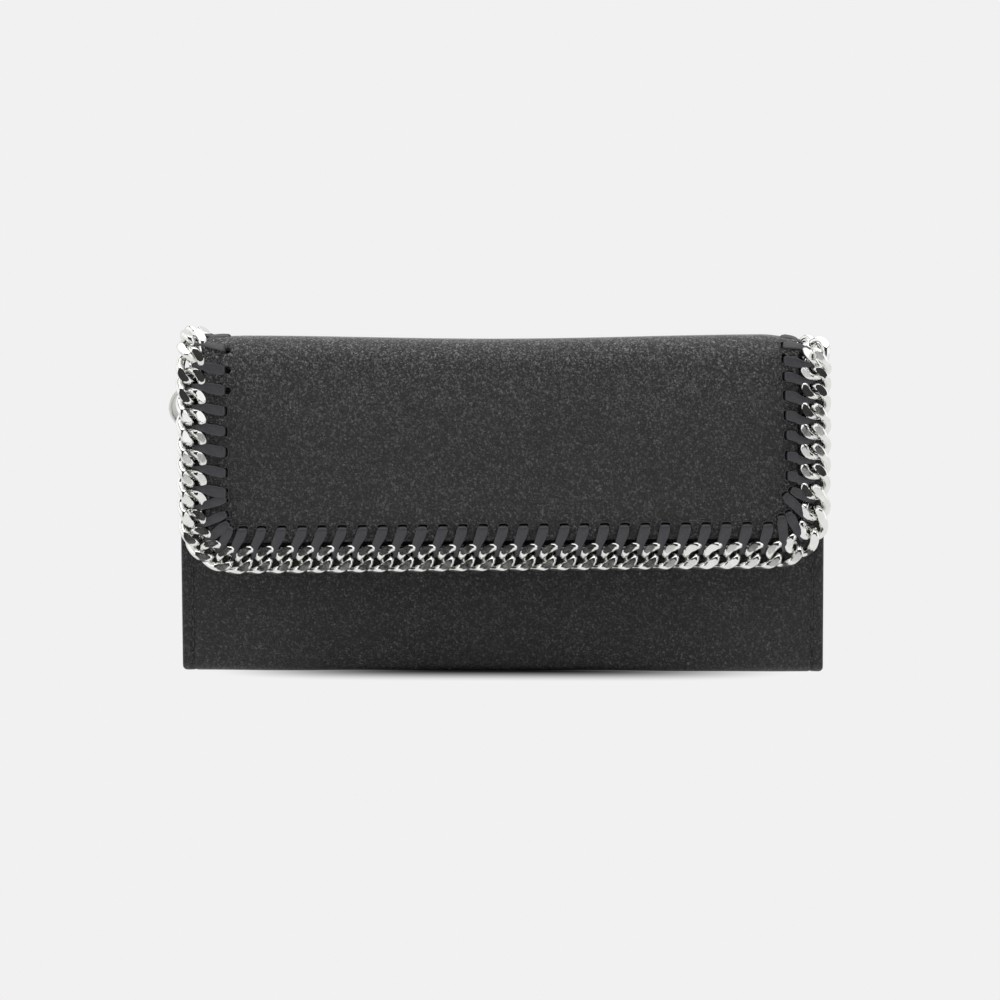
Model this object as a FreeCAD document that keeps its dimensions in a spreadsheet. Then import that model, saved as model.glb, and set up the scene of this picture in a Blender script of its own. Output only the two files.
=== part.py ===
import FreeCAD, Part
import Sketcher
import math
import os

# Chain-trimmed flap wallet, standing closed on its base.
# X runs along the width, -Y is the front, +Z is up, and the base lies on Z = 0.

V = FreeCAD.Vector

DRIVING = {
    "body_width": 190.0,
    "fold_top": 99.4,
    "front_top": 90.0,
    "leather_ply": 1.1,
    "board_ply": 0.5,
    "lining_ply": 0.8,
    "front_leather_ply": 1.0,
    "front_board_ply": 0.4,
    "front_lining_ply": 0.4,
    "tier_ply": 0.35,
    "front_tier_ply": 0.3,
    "tier_width": 172.0,
    "tier_low": 1.6,
    "first_tier_top": 42.0,
    "tier_step": 10.0,
    "bill_gap": 4.3,
    "pocket_depth": 3.7,
    "pocket_wall": 0.5,
    "pocket_width": 172.0,
    "pocket_low": 1.7,
    "pocket_top": 84.0,
    "base_width": 188.0,
    "base_front": -5.9,
    "base_lining_ply": 0.4,
    "corner_round": 1.0,
    "chain_half_span": 92.0,
    "chain_low": 34.0,
    "chain_corner": 12.5,
    "edge_inset": 5.0,
    "hole_inset": 9.4,
    "left_hole_inset": 11.3,
    "corner_hole_inset": 7.3,
    "hole_radius": 0.95,
    "link_half_length": 4.25,
    "link_half_width": 3.8,
    "link_twist": 1.7,
    "link_wire": 2.0,
    "link_half_thickness": 1.85,
    "lace_width": 1.3,
    "lace_ply": 0.7,
    "lace_gap": 0.05,
    "notch_low": 80.6,
    "fold_relief": 0.55,
    "board_margin": 1.5,
    "snap_height": 56.0,
    "snap_radius": 8.0,
    "snap_stem": 1.5,
    "socket_radius": 8.5,
    "socket_depth": 1.2,
    "socket_recess": 4.0,
    "recess_depth": 0.9,
    "stud_plate": 0.5,
    "stud_radius": 2.5,
    "stud_length": 0.9,
    "gusset_ply": 0.5,
    "gusset_top": 80.0,
    "gusset_reach": 5.5,
    "gusset_edge": 93.5,
    "gusset_clearance": 0.2,
    "tape_ply": 0.4,
    "tape_low": 74.0,
    "tape_top": 85.4,
    "tape_length": 164.0,
    "tooth_length": 1.1,
    "tooth_pitch": 2.2,
    "tooth_low": 84.4,
    "tooth_high": 85.6,
    "tooth_gap": 0.3,
    "tooth_stagger": 0.55,
    "stop_length": 2.2,
    "stop_inset": 3.3,
    "slider_x": 73.0,
    "slider_length": 8.0,
    "slider_half_width": 2.3,
    "slider_top": 87.0,
    "slider_ply": 1.0,
    "flange_ply": 0.75,
    "flange_low": 84.3,
    "foot_high": 83.7,
    "foot_ply": 0.8,
    "foot_half_width": 0.7,
    "ear_inside": 1.2,
    "ear_ply": 0.7,
    "ear_half_length": 1.0,
    "ear_cap": 0.8,
    "pin_height": 88.1,
    "pin_radius": 0.5,
    "pin_length": 3.0,
    "pull_eye_radius": 1.0,
    "pull_eye_length": 2.0,
    "pull_bore": 0.56,
    "pull_neck": 3.0,
    "pull_tab_start": 2.4,
    "pull_reach": 16.0,
    "pull_width": 4.4,
    "pull_ply": 1.0,
    "disc_radius": 6.75,
    "disc_ply": 1.2,
    "disc_gap": 0.3,
    "ring_radius": 3.5,
    "ring_wire": 0.5,
    "ring_offset": 0.8,
    "ring_hang": 1.25,
    "eye_radius": 1.05,
    "eye_inset": 1.9,
}

FLAP_LINKS = 49
SPINE_LINKS = 2
REAR_TIERS = 4
FRONT_TIERS = 2
TEETH = 65
LINK_STATIONS = 16
WIRE_STATIONS = 8


def derive(d):
    """Positions that follow from the driving sizes: chain pitch, stack of walls, hinge lines."""
    wall = d["leather_ply"] + d["board_ply"] + d["lining_ply"]
    fold_mid = d["fold_top"] - wall / 2
    side_run = fold_mid - d["chain_low"] - d["chain_corner"]
    bottom_run = 2 * (d["chain_half_span"] - d["chain_corner"])
    path = 2 * side_run + bottom_run + math.pi * d["chain_corner"]
    d["wall_ply"] = wall
    d["fold_mid"] = fold_mid
    d["pitch"] = path / (FLAP_LINKS + math.sqrt(2))
    d["fold_leg"] = d["pitch"] / math.sqrt(2)
    d["spine_depth"] = SPINE_LINKS * d["pitch"]
    d["back_mid"] = d["spine_depth"] / 2 + d["fold_leg"]
    d["flap_mid"] = -d["back_mid"]
    d["fold_line"] = fold_mid - d["fold_leg"]
    d["back_outer"] = d["back_mid"] + wall / 2
    d["back_inner"] = d["back_mid"] - wall / 2
    d["flap_inner"] = d["flap_mid"] + wall / 2
    d["pocket_rear"] = d["back_inner"] - REAR_TIERS * d["tier_ply"] - d["bill_gap"]
    d["pocket_front"] = d["pocket_rear"] - d["pocket_depth"]
    d["pocket_mid"] = (d["pocket_rear"] + d["pocket_front"]) / 2
    d["tier_front"] = d["pocket_front"] - d["bill_gap"]
    d["lining_front"] = d["tier_front"] - FRONT_TIERS * d["front_tier_ply"]
    d["board_front"] = d["lining_front"] - d["front_lining_ply"]
    d["leather_front"] = d["board_front"] - d["front_board_ply"]
    d["front_outer"] = d["leather_front"] - d["front_leather_ply"]
    d["edge_half_span"] = d["chain_half_span"] - d["edge_inset"]
    d["flap_low"] = d["chain_low"] + d["edge_inset"]
    d["flap_high"] = d["fold_line"] - d["fold_relief"]
    d["back_link_height"] = d["fold_line"] - d["pitch"] / 2
    d["ring_mid_y"] = d["back_mid"] + d["ring_offset"]
    d["ring_mid_z"] = d["back_link_height"] - d["link_half_length"] - d["ring_hang"]
    d["disc_mid_y"] = d["back_outer"] + d["disc_gap"] + d["disc_ply"] / 2
    d["eye_height"] = d["ring_mid_z"] - math.sqrt(
        d["ring_radius"] ** 2 - (d["disc_mid_y"] - d["ring_mid_y"]) ** 2
    )
    return d


SIZE = derive(DRIVING)
DOC = FreeCAD.newDocument("chain_wallet")
SHEET = DOC.addObject("Spreadsheet::Sheet", "sizes")
NODES = {}


def fill_sheet():
    for row, (word, value) in enumerate(SIZE.items(), start=1):
        SHEET.set(f"A{row}", word)
        SHEET.set(f"B{row}", f"{value:.6f}")
        SHEET.setAlias(f"B{row}", word)
    DOC.recompute()


def cell(word):
    return float(SHEET.get(word))


def bind(target, path, formula):
    """Bind a property to the sheet: words in braces become sheet cells."""
    target.setExpression(path, formula.replace("{", "sizes.").replace("}", ""))


def keep(label, thing):
    thing.Label = label
    NODES[label] = thing
    return thing


def block(name, low, high):
    """A box between two corners, each given as three formulas."""
    box = DOC.addObject("Part::Box", name)
    for side, start, end in zip(("Length", "Width", "Height"), low, high):
        bind(box, side, f"({end}) - ({start})")
    for axis, start in zip("xyz", low):
        bind(box, f"Placement.Base.{axis}", start)
    return box


def plate(label, half_width, rear, ply, low, high, holes=None):
    """An upright sheet, centred on X, whose rear face lies at the formula rear."""
    name = label if holes is None else f"{label}_sheet"
    box = block(name, (f"-({half_width})", f"({rear}) - ({ply})", low), (half_width, rear, high))
    return keep(label, box if holes is None else cut(label, box, holes))


def cut(label, base, tool):
    result = DOC.addObject("Part::Cut", label)
    result.Base = base
    result.Tool = tool
    return result


def fuse(label, pieces):
    result = DOC.addObject("Part::MultiFuse", label)
    result.Shapes = pieces
    return result


def solids(name, shapes):
    """A group of separate solids, or one tool made of several."""
    group = DOC.addObject("Part::Feature", name)
    group.Shape = Part.makeCompound(shapes)
    return group


def plane_of(body, role):
    return next(f for f in body.Origin.OriginFeatures if f.Role == role)


def sketch_on(body, name, role):
    sketch = body.newObject("Sketcher::SketchObject", name)
    sketch.AttachmentSupport = (plane_of(body, role), "")
    sketch.MapMode = "FlatFace"
    return sketch


def closed_lines(sketch, corners):
    """A closed run of lines through the corners, joined end to end."""
    count = len(corners)
    for index, corner in enumerate(corners):
        end = corners[(index + 1) % count]
        line = Part.LineSegment(V(corner[0], corner[1], 0), V(end[0], end[1], 0))
        sketch.addGeometry(line, False)
    for index in range(count):
        sketch.addConstraint(Sketcher.Constraint("Coincident", index, 2, (index + 1) % count, 1))


def driven_points(sketch, formulas):
    """Fix every corner of a closed run of lines by two formulas from the sheet."""
    for index, pair in enumerate(formulas):
        for kind, formula in zip(("DistanceX", "DistanceY"), pair):
            if formula == "0":
                other = -1 if kind == "DistanceY" else -2
                sketch.addConstraint(Sketcher.Constraint("PointOnObject", index, 1, other))
                continue
            here = sketch.Geometry[index].StartPoint
            value = here.x if kind == "DistanceX" else here.y
            tag = f"corner_{index}_{kind[-1].lower()}"
            sketch.addConstraint(Sketcher.Constraint(kind, -1, 1, index, 1, value))
            sketch.renameConstraint(sketch.ConstraintCount - 1, tag)
            bind(sketch, f"Constraints.{tag}", formula)


def profile(body, name, role, formulas):
    """A closed straight-sided sketch whose corners are formulas."""
    sketch = sketch_on(body, name, role)
    values = [tuple(value_of(text) for text in pair) for pair in formulas]
    closed_lines(sketch, values)
    driven_points(sketch, formulas)
    return sketch


def value_of(formula):
    """The number that a formula gives with the present sizes."""
    answer = DOC.getObject("formula_answer") or DOC.addObject("App::FeaturePython", "formula_answer")
    if "amount" not in answer.PropertiesList:
        answer.addProperty("App::PropertyFloat", "amount")
    bind(answer, "amount", formula)
    answer.recompute()
    return answer.amount


def upright_panel(label, half_width, rear, ply, low, high, rounded, radius):
    """A padded panel in the XZ plane with some corners rounded."""
    body = DOC.addObject("PartDesign::Body", label)
    left = f"-({half_width})"
    corners = [(left, low), (half_width, low), (half_width, high), (left, high)]
    outline = profile(body, f"{label}_outline", "XZ_Plane", corners)
    pad = body.newObject("PartDesign::Pad", f"{label}_pad")
    pad.Profile = outline
    bind(pad, "Length", ply)
    DOC.recompute()
    edges = upright_edges(pad.Shape, rounded)
    fillet = body.newObject("PartDesign::Fillet", f"{label}_corners")
    fillet.Base = (pad, edges)
    bind(fillet, "Radius", radius)
    bind(body, "Placement.Base.y", rear)
    return body


def upright_edges(shape, rounded):
    """Names of the edges along Y at the low corners, the high corners, or both."""
    middle = shape.BoundBox.Center.z
    names = []
    for index, edge in enumerate(shape.Edges, start=1):
        along = edge.Vertexes[-1].Point - edge.Vertexes[0].Point
        if abs(along.x) > 1e-6 or abs(along.z) > 1e-6:
            continue
        side = "low" if edge.CenterOfMass.z < middle else "high"
        if side in rounded:
            names.append(f"Edge{index}")
    return names


def turned(label, corners, mid_x, mid_y, mid_z):
    """A body turned about the Y axis: corners are (radius, depth) formulas."""
    body = DOC.addObject("PartDesign::Body", label)
    outline = profile(body, f"{label}_outline", "XY_Plane", corners)
    turn = body.newObject("PartDesign::Revolution", f"{label}_turn")
    turn.Profile = outline
    turn.ReferenceAxis = (plane_of(body, "Y_Axis"), "")
    turn.Angle = 360.0
    for axis, formula in zip("xyz", (mid_x, mid_y, mid_z)):
        bind(body, f"Placement.Base.{axis}", formula)
    return body


# ---- places along the chain -------------------------------------------------------------


def station(middle, along, outward, inward, hole_inset):
    """One place on the chain: where the link sits and where its lace goes through the leather."""
    across = outward.cross(along)
    turn = FreeCAD.Rotation(along, across, outward, "ZXY")
    return {
        "place": FreeCAD.Placement(middle, turn),
        "outward": outward,
        "hole": middle + inward * hole_inset,
        "inward_sign": 1 if across.dot(inward) > 0 else -1,
        "inset": hole_inset,
    }


def flap_stations():
    """Places down the left edge, round the two lower corners, along the bottom and up again."""
    span, low, bend = cell("chain_half_span"), cell("chain_low"), cell("chain_corner")
    side = cell("fold_line") - low - bend
    arc = math.pi * bend / 2
    bottom = 2 * (span - bend)
    outward = V(0, -1, 0)
    places = []
    for index in range(FLAP_LINKS):
        run = (index + 0.5) * cell("pitch")
        inset = cell("hole_inset")
        if run < side:
            spot, along, inward = V(-span, 0, cell("fold_line") - run), V(0, 0, -1), V(1, 0, 0)
            inset = cell("left_hole_inset")
        elif run < side + arc:
            angle = (run - side) / bend
            inward = V(math.cos(angle), 0, math.sin(angle))
            spot = V(bend - span, 0, low + bend) - inward * bend
            along = V(math.sin(angle), 0, -math.cos(angle))
            inset = cell("corner_hole_inset")
        elif run < side + arc + bottom:
            spot, along, inward = V(run - side - arc + bend - span, 0, low), V(1, 0, 0), V(0, 0, 1)
        elif run < side + 2 * arc + bottom:
            angle = (run - side - arc - bottom) / bend
            inward = V(-math.sin(angle), 0, math.cos(angle))
            spot = V(span - bend, 0, low + bend) - inward * bend
            along = V(math.cos(angle), 0, math.sin(angle))
            inset = cell("corner_hole_inset")
        else:
            climb = run - side - 2 * arc - bottom
            spot, along, inward = V(span, 0, low + bend + climb), V(0, 0, 1), V(-1, 0, 0)
        spot.y = cell("flap_mid")
        places.append(station(spot, along, outward, inward, inset))
    return places


def side_stations(mid_y, mid_z, along, outward):
    """The two matching places at the left and right edges."""
    span = cell("chain_half_span")
    places = []
    for side, inset in ((-1, "left_hole_inset"), (1, "hole_inset")):
        middle = V(side * span, mid_y, mid_z)
        places.append(station(middle, along, outward, V(-side, 0, 0), cell(inset)))
    return places


def back_stations():
    return side_stations(cell("back_mid"), cell("back_link_height"), V(0, 0, 1), V(0, 1, 0))


def spine_stations():
    places = []
    for index in range(SPINE_LINKS):
        mid_y = (index - (SPINE_LINKS - 1) / 2) * cell("pitch")
        places += side_stations(mid_y, cell("fold_mid"), V(0, -1, 0), V(0, 0, 1))
    return places


def fold_stations(side):
    """The places on a sloping fold strip: side is 1 at the rear and -1 at the front."""
    slope = math.sqrt(0.5)
    mid_y = side * (cell("spine_depth") + cell("fold_leg")) / 2
    mid_z = cell("fold_mid") - cell("fold_leg") / 2
    return side_stations(mid_y, mid_z, V(0, -slope, side * slope), V(0, side * slope, slope))


# ---- chain, laces and holes -------------------------------------------------------------


def link_surface():
    """Closed spline tube along a twisted oval: the wire of one link before it is ground flat."""
    half_length, half_width = cell("link_half_length"), cell("link_half_width")
    twist, radius = cell("link_twist"), cell("link_wire") / 2
    swell = 3 / (2 + math.cos(2 * math.pi / WIRE_STATIONS))
    spread = 3 / (2 + math.cos(2 * math.pi / LINK_STATIONS))
    twist_spread = 3 / (2 + math.cos(4 * math.pi / LINK_STATIONS))
    poles = []
    for step in range(LINK_STATIONS):
        angle = 2 * math.pi * step / LINK_STATIONS
        along = V(
            -half_length * math.sin(angle),
            half_width * math.cos(angle),
            -2 * twist * math.cos(2 * angle),
        ).normalize()
        side = along.cross(V(math.cos(angle), math.sin(angle), 0)).normalize()
        out = side.cross(along)
        centre = V(
            spread * half_length * math.cos(angle),
            spread * half_width * math.sin(angle),
            -twist_spread * twist * math.sin(2 * angle),
        )
        ring = []
        for turn in range(WIRE_STATIONS):
            roll = 2 * math.pi * turn / WIRE_STATIONS
            ring.append(centre + (out * math.cos(roll) + side * math.sin(roll)) * swell * radius)
        poles.append(ring)
    surface = Part.BSplineSurface()
    surface.buildFromPolesMultsKnots(
        poles,
        [1] * (LINK_STATIONS + 1),
        [1] * (WIRE_STATIONS + 1),
        list(range(LINK_STATIONS + 1)),
        list(range(WIRE_STATIONS + 1)),
        True,
        True,
        3,
        3,
    )
    return surface


def one_link():
    """A curb link: twisted oval of round wire, ground flat on its two faces."""
    wire = Part.Solid(Part.Shell([link_surface().toShape()]))
    if wire.Volume < 0:
        wire.reverse()
    reach = cell("link_half_length") + cell("link_wire")
    half = cell("link_half_thickness")
    slab = Part.makeBox(2 * reach, 2 * reach, 2 * half, V(-reach, -reach, -half))
    return wire.common(slab).Solids[0]


def chain(label, stations):
    link = one_link()
    links = []
    for spot in stations:
        copy = link.copy()
        copy.Placement = spot["place"]
        links.append(copy)
    return keep(label, solids(label, links))


def one_lace(inset, sign):
    """A flat thong in a closed loop through a link and the leather beside it."""
    width, ply = cell("lace_width"), cell("lace_ply")
    inner = cell("link_half_thickness") + cell("lace_gap")
    outer = inner + ply
    outside = Part.makeBox(width, inset + ply, 2 * outer, V(-width / 2, -ply / 2, -outer))
    inside = Part.makeBox(width, inset - ply, 2 * inner, V(-width / 2, ply / 2, -inner))
    loop = outside.cut(inside)
    if sign < 0:
        loop.rotate(V(0, 0, 0), V(0, 0, 1), 180)
    return loop


def laces(label, stations):
    loops = []
    for spot in stations:
        loop = one_lace(spot["inset"], spot["inward_sign"])
        loop.Placement = spot["place"].multiply(loop.Placement)
        loops.append(loop)
    return keep(label, solids(label, loops))


def lace_holes(name, stations):
    """Punches for the lace holes, long enough to pass through every layer."""
    reach = cell("wall_ply")
    punches = []
    for spot in stations:
        start = spot["hole"] - spot["outward"] * reach
        punches.append(Part.makeCylinder(cell("hole_radius"), 2 * reach, start, spot["outward"]))
    return solids(name, punches)


# ---- back, base and rear pockets --------------------------------------------------------


def back_wall():
    """Back leather, board and lining, notched at both upper corners where the chain ends."""
    holes = lace_holes("back_holes", back_stations())
    notches = []
    for side in ("-", "+"):
        near = "{edge_half_span}"
        far = "{body_width}/2 + {corner_round}"
        x_low, x_high = (near, far) if side == "+" else (f"-({far})", f"-{near}")
        low = (x_low, "{back_inner} - {wall_ply}", "{notch_low}")
        high = (x_high, "{back_outer} + {wall_ply}", "{fold_top}")
        notches.append(block(f"notch_{'right' if side == '+' else 'left'}", low, high))
    tools = fuse("back_tools", notches + [holes])
    leather = upright_panel(
        "back_panel", "{body_width}/2", "{back_outer}", "{leather_ply}",
        "{leather_ply}", "{flap_high}", ("low",), "{corner_round}",
    )
    keep("back_leather", cut("back_leather", leather, tools))
    inset = "{body_width}/2 - {board_margin}"
    board_rear = "{back_outer} - {leather_ply}"
    low = "{leather_ply} + {board_margin}"
    plate("back_board", inset, board_rear, "{board_ply}", low, "{flap_high}", tools)
    lining_rear = f"{board_rear} - {{board_ply}}"
    plate("back_lining", inset, lining_rear, "{lining_ply}", low, "{flap_high}", tools)
    chain("back_links", back_stations())
    laces("back_laces", back_stations())


def base():
    half = "{base_width}/2"
    low = (f"-{half}", "{base_front}", "0")
    high = (half, "{back_outer}", "{leather_ply}")
    keep("base_leather", block("base_leather", low, high))
    inset = f"{half} - {{board_margin}}"
    low = (f"-({inset})", "{base_front}", "{leather_ply}")
    high = (inset, "{back_inner}", "{leather_ply} + {base_lining_ply}")
    keep("base_lining", block("base_lining", low, high))


def rear_tiers():
    """Stepped card sheets on the back wall, the nearest one the lowest."""
    for index in range(REAR_TIERS):
        rear = f"{{back_inner}} - {index} * {{tier_ply}}"
        top = f"{{first_tier_top}} + {REAR_TIERS - 1 - index} * {{tier_step}}"
        label = f"rear_card_tier_{index + 1}"
        plate(label, "{tier_width}/2", rear, "{tier_ply}", "{tier_low}", top)


# ---- fold strips and spine --------------------------------------------------------------


def fold_strip(name, side):
    """The sloping strip between the spine and a wall: side is 1 at the rear, -1 at the front."""
    stations = fold_stations(side)
    holes = lace_holes(f"{name}_holes", stations)
    middle = stations[0]["place"].Base
    turn = FreeCAD.Rotation(V(1, 0, 0), -45 * side)
    plies = [("leather", "{wall_ply}/2 - {leather_ply}", "{leather_ply}"),
             ("lining", "-{wall_ply}/2", "{board_ply} + {lining_ply}")]
    for ply_name, start, ply in plies:
        box = DOC.addObject("Part::Box", f"{name}_{ply_name}_strip")
        bind(box, "Length", "2 * {edge_half_span}")
        bind(box, "Width", "{pitch} - 2 * {fold_relief}")
        bind(box, "Height", ply)
        offset = V(-cell("edge_half_span"), cell("fold_relief") - cell("pitch") / 2, value_of(start))
        box.Placement = FreeCAD.Placement(V(0, middle.y, middle.z) + turn.multVec(offset), turn)
        keep(f"{name}_{ply_name}", cut(f"{name}_{ply_name}", box, holes))
    chain(f"{name}_links", stations)
    laces(f"{name}_laces", stations)


def spine():
    stations = spine_stations()
    holes = lace_holes("spine_holes", stations)
    reach = "{spine_depth}/2 - {fold_relief}"
    layers = [("leather", "{edge_half_span}", "{fold_top} - {leather_ply}", "{leather_ply}"),
              ("board", "{edge_half_span} - {board_margin}",
               "{fold_top} - {leather_ply} - {board_ply}", "{board_ply}"),
              ("lining", "{edge_half_span}", "{fold_top} - {wall_ply}", "{lining_ply}")]
    for layer, half, low_z, ply in layers:
        low = (f"-({half})", f"-({reach})", low_z)
        high = (half, reach, f"{low_z} + {ply}")
        sheet = block(f"spine_{layer}_sheet", low, high)
        keep(f"spine_{layer}", cut(f"spine_{layer}", sheet, holes))
    chain("spine_links", stations)
    laces("spine_laces", stations)


# ---- flap -------------------------------------------------------------------------------


def round_hole(name, radius):
    """A punch along Y at the snap, through every layer."""
    punch = DOC.addObject("Part::Cylinder", name)
    bind(punch, "Radius", radius)
    bind(punch, "Height", "2 * {back_outer}")
    punch.Placement = FreeCAD.Placement(V(0, 0, cell("snap_height")), FreeCAD.Rotation(V(1, 0, 0), 90))
    return punch


def flap_panel(label, rear, ply, inset, tools):
    panel = upright_panel(
        f"{label}_panel", f"{{edge_half_span}} - {inset}", rear, ply,
        f"{{flap_low}} + {inset}", "{flap_high}", ("low",), "{chain_corner} - {edge_inset}",
    )
    return keep(label, cut(label, panel, tools))


def flap():
    stations = flap_stations()
    holes = lace_holes("flap_holes", stations)
    washer_seat = round_hole("flap_washer_seat", "{snap_radius}")
    stem_hole = round_hole("flap_stem_hole", "{snap_stem}")
    board_tools = fuse("flap_board_tools", [holes, washer_seat])
    lining_tools = fuse("flap_lining_tools", [holes, stem_hole])
    board_rear = "{flap_inner} - {lining_ply}"
    leather_rear = f"{board_rear} - {{board_ply}}"
    flap_panel("flap_leather", leather_rear, "{leather_ply}", "0", holes)
    flap_panel("flap_board", board_rear, "{board_ply}", "{board_margin}/3", board_tools)
    flap_panel("flap_lining", "{flap_inner}", "{lining_ply}", "0", lining_tools)
    chain("flap_links", stations)
    laces("flap_laces", stations)
    snap_stud()
    washer("flap_snap_washer", "{flap_inner} - {lining_ply}", "{board_ply}", "{snap_radius}")


def washer(label, rear, ply, radius):
    """A plain backing disc let into the board."""
    outline = [("0", f"-({ply})"), (radius, f"-({ply})"), (radius, "0"), ("0", "0")]
    keep(label, turned(label, outline, "0", rear, "{snap_height}"))


def snap_stud():
    """The half of the magnetic snap on the flap: stem, plate and nose."""
    plate_depth = "{stud_plate}"
    nose = "{stud_plate} + {stud_length}"
    outline = [("0", "-{lining_ply}"), ("{snap_stem}", "-{lining_ply}"), ("{snap_stem}", "0"),
               ("{snap_radius}", "0"), ("{snap_radius}", plate_depth), ("{stud_radius}", plate_depth),
               ("{stud_radius}", nose), ("0", nose)]
    keep("snap_stud", turned("snap_stud", outline, "0", "{flap_inner}", "{snap_height}"))


# ---- zip pocket -------------------------------------------------------------------------


def zip_pocket():
    """A sheet folded into a flat pocket, closed at both ends and open at the top."""
    half = "{pocket_width}/2"
    low = (f"-{half}", "{pocket_front}", "{pocket_low}")
    outside = block("pocket_outside", low, (half, "{pocket_rear}", "{pocket_top}"))
    inner = f"{half} - {{pocket_wall}}"
    low = (f"-({inner})", "{pocket_front} + {pocket_wall}", "{pocket_low} + {pocket_wall}")
    high = (inner, "{pocket_rear} - {pocket_wall}", "{pocket_top} + {pocket_wall}")
    keep("zip_pocket", cut("zip_pocket", outside, block("pocket_inside", low, high)))


def zip_tapes():
    half = "{tape_length}/2"
    rear_face = "{pocket_rear} - {pocket_wall}"
    front_face = "{pocket_front} + {pocket_wall}"
    spans = [
        ("zip_tape_rear", f"{rear_face} - {{tape_ply}}", rear_face),
        ("zip_tape_front", front_face, f"{front_face} + {{tape_ply}}"),
    ]
    for label, near, far in spans:
        low = (f"-{half}", near, "{tape_low}")
        keep(label, block(label, low, (half, far, "{tape_top}")))


def zip_teeth(label, side):
    """One row of teeth: side is 1 for the rear tape and -1 for the front tape."""
    length, pitch = cell("tooth_length"), cell("tooth_pitch")
    low, tall = cell("tooth_low"), cell("tooth_high") - cell("tooth_low")
    reach = cell("pocket_depth") / 2 - cell("pocket_wall") - cell("tape_ply")
    deep = reach - cell("tooth_gap")
    start_y = cell("pocket_mid") + (cell("tooth_gap") if side > 0 else -reach)
    shift = side * cell("tooth_stagger")
    teeth = []
    for index in range(TEETH):
        middle = (index - (TEETH - 1) / 2) * pitch - cell("slider_length") / 2 + shift
        teeth.append(Part.makeBox(length, deep, tall, V(middle - length / 2, start_y, low)))
    return keep(label, solids(label, teeth))


def zip_stops():
    """Short bars that tie the two tapes together at both ends of the zip."""
    reach = cell("pocket_depth") / 2 - cell("pocket_wall") - cell("tape_ply")
    low, tall = cell("tooth_low"), cell("tooth_high") - cell("tooth_low")
    length = cell("stop_length")
    end = cell("tape_length") / 2 - cell("stop_inset")
    bars = []
    for side in (-1, 1):
        corner = V(side * end - length / 2, cell("pocket_mid") - reach, low)
        bars.append(Part.makeBox(length, 2 * reach, tall, corner))
    return keep("zip_stops", solids("zip_stops", bars))


def zip_bar(name, start, end, half, low, high):
    """A block centred on the zip's mid-plane."""
    near, far = f"{{pocket_mid}} - {half}", f"{{pocket_mid}} + {half}"
    return block(name, (start, near, low), (end, far, high))


def zip_cheeks(name, start, end, inside, outside, low, high):
    """Two matching blocks either side of the zip's mid-plane."""
    front_low, front_high = f"{{pocket_mid}} - {outside}", f"{{pocket_mid}} - ({inside})"
    rear_low, rear_high = f"{{pocket_mid}} + {inside}", f"{{pocket_mid}} + {outside}"
    return [
        block(f"{name}_front", (start, front_low, low), (end, front_high, high)),
        block(f"{name}_rear", (start, rear_low, low), (end, rear_high, high)),
    ]


def on_pin_line(name, radius, length):
    """A cylinder along Y, centred on the line of the slider's pin."""
    rod = DOC.addObject("Part::Cylinder", name)
    bind(rod, "Radius", radius)
    bind(rod, "Height", length)
    end = V(cell("slider_x"), cell("pocket_mid") + value_of(length) / 2, cell("pin_height"))
    rod.Placement = FreeCAD.Placement(end, FreeCAD.Rotation(V(1, 0, 0), 90))
    return rod


def slider():
    """Zip slider: top plate, side flanges, a thin web between the teeth and a foot below them."""
    start, end = "{slider_x} - {slider_length}/2", "{slider_x} + {slider_length}/2"
    plate_low = "{slider_top} - {slider_ply}"
    foot_low = "{foot_high} - {foot_ply}"
    flange = ("{slider_half_width} - {flange_ply}", "{slider_half_width}")
    ear_span = ("{slider_x} - {ear_half_length}", "{slider_x} + {ear_half_length}")
    ear = ("{ear_inside}", "({ear_inside} + {ear_ply})")
    pieces = [
        zip_bar("slider_plate", start, end, "{slider_half_width}", plate_low, "{slider_top}"),
        zip_bar("slider_web", start, end, "{tooth_gap}/2", "{foot_high}", plate_low),
        zip_bar("slider_foot", start, end, "{foot_half_width}", foot_low, "{foot_high}"),
        on_pin_line("slider_pin", "{pin_radius}", "{pin_length}"),
    ]
    pieces += zip_cheeks("slider_flange", start, end, *flange, "{flange_low}", plate_low)
    pieces += zip_cheeks("slider_ear", *ear_span, *ear, "{slider_top}", "{pin_height} + {ear_cap}")
    keep("zip_slider", fuse("zip_slider", pieces))


def zip_pull():
    """Flat tab with an eye round the slider's pin."""
    low, high = "{pin_height} - {pull_ply}/2", "{pin_height} + {pull_ply}/2"
    neck_start, tab_end = "{slider_x} - {pull_neck}", "{slider_x} - {pull_tab_start}"
    tab_start = "{slider_x} - {pull_reach}"
    eye = on_pin_line("pull_eye", "{pull_eye_radius}", "{pull_eye_length}")
    neck = zip_bar("pull_neck", neck_start, "{slider_x}", "{pull_eye_length}/2", low, high)
    tab = zip_bar("pull_tab", tab_start, tab_end, "{pull_width}/2", low, high)
    bore = on_pin_line("pull_bore", "{pull_bore}", "{pin_length}")
    keep("zip_pull", cut("zip_pull", fuse("pull_blank", [eye, neck, tab]), bore))


# ---- front wall -------------------------------------------------------------------------


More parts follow.
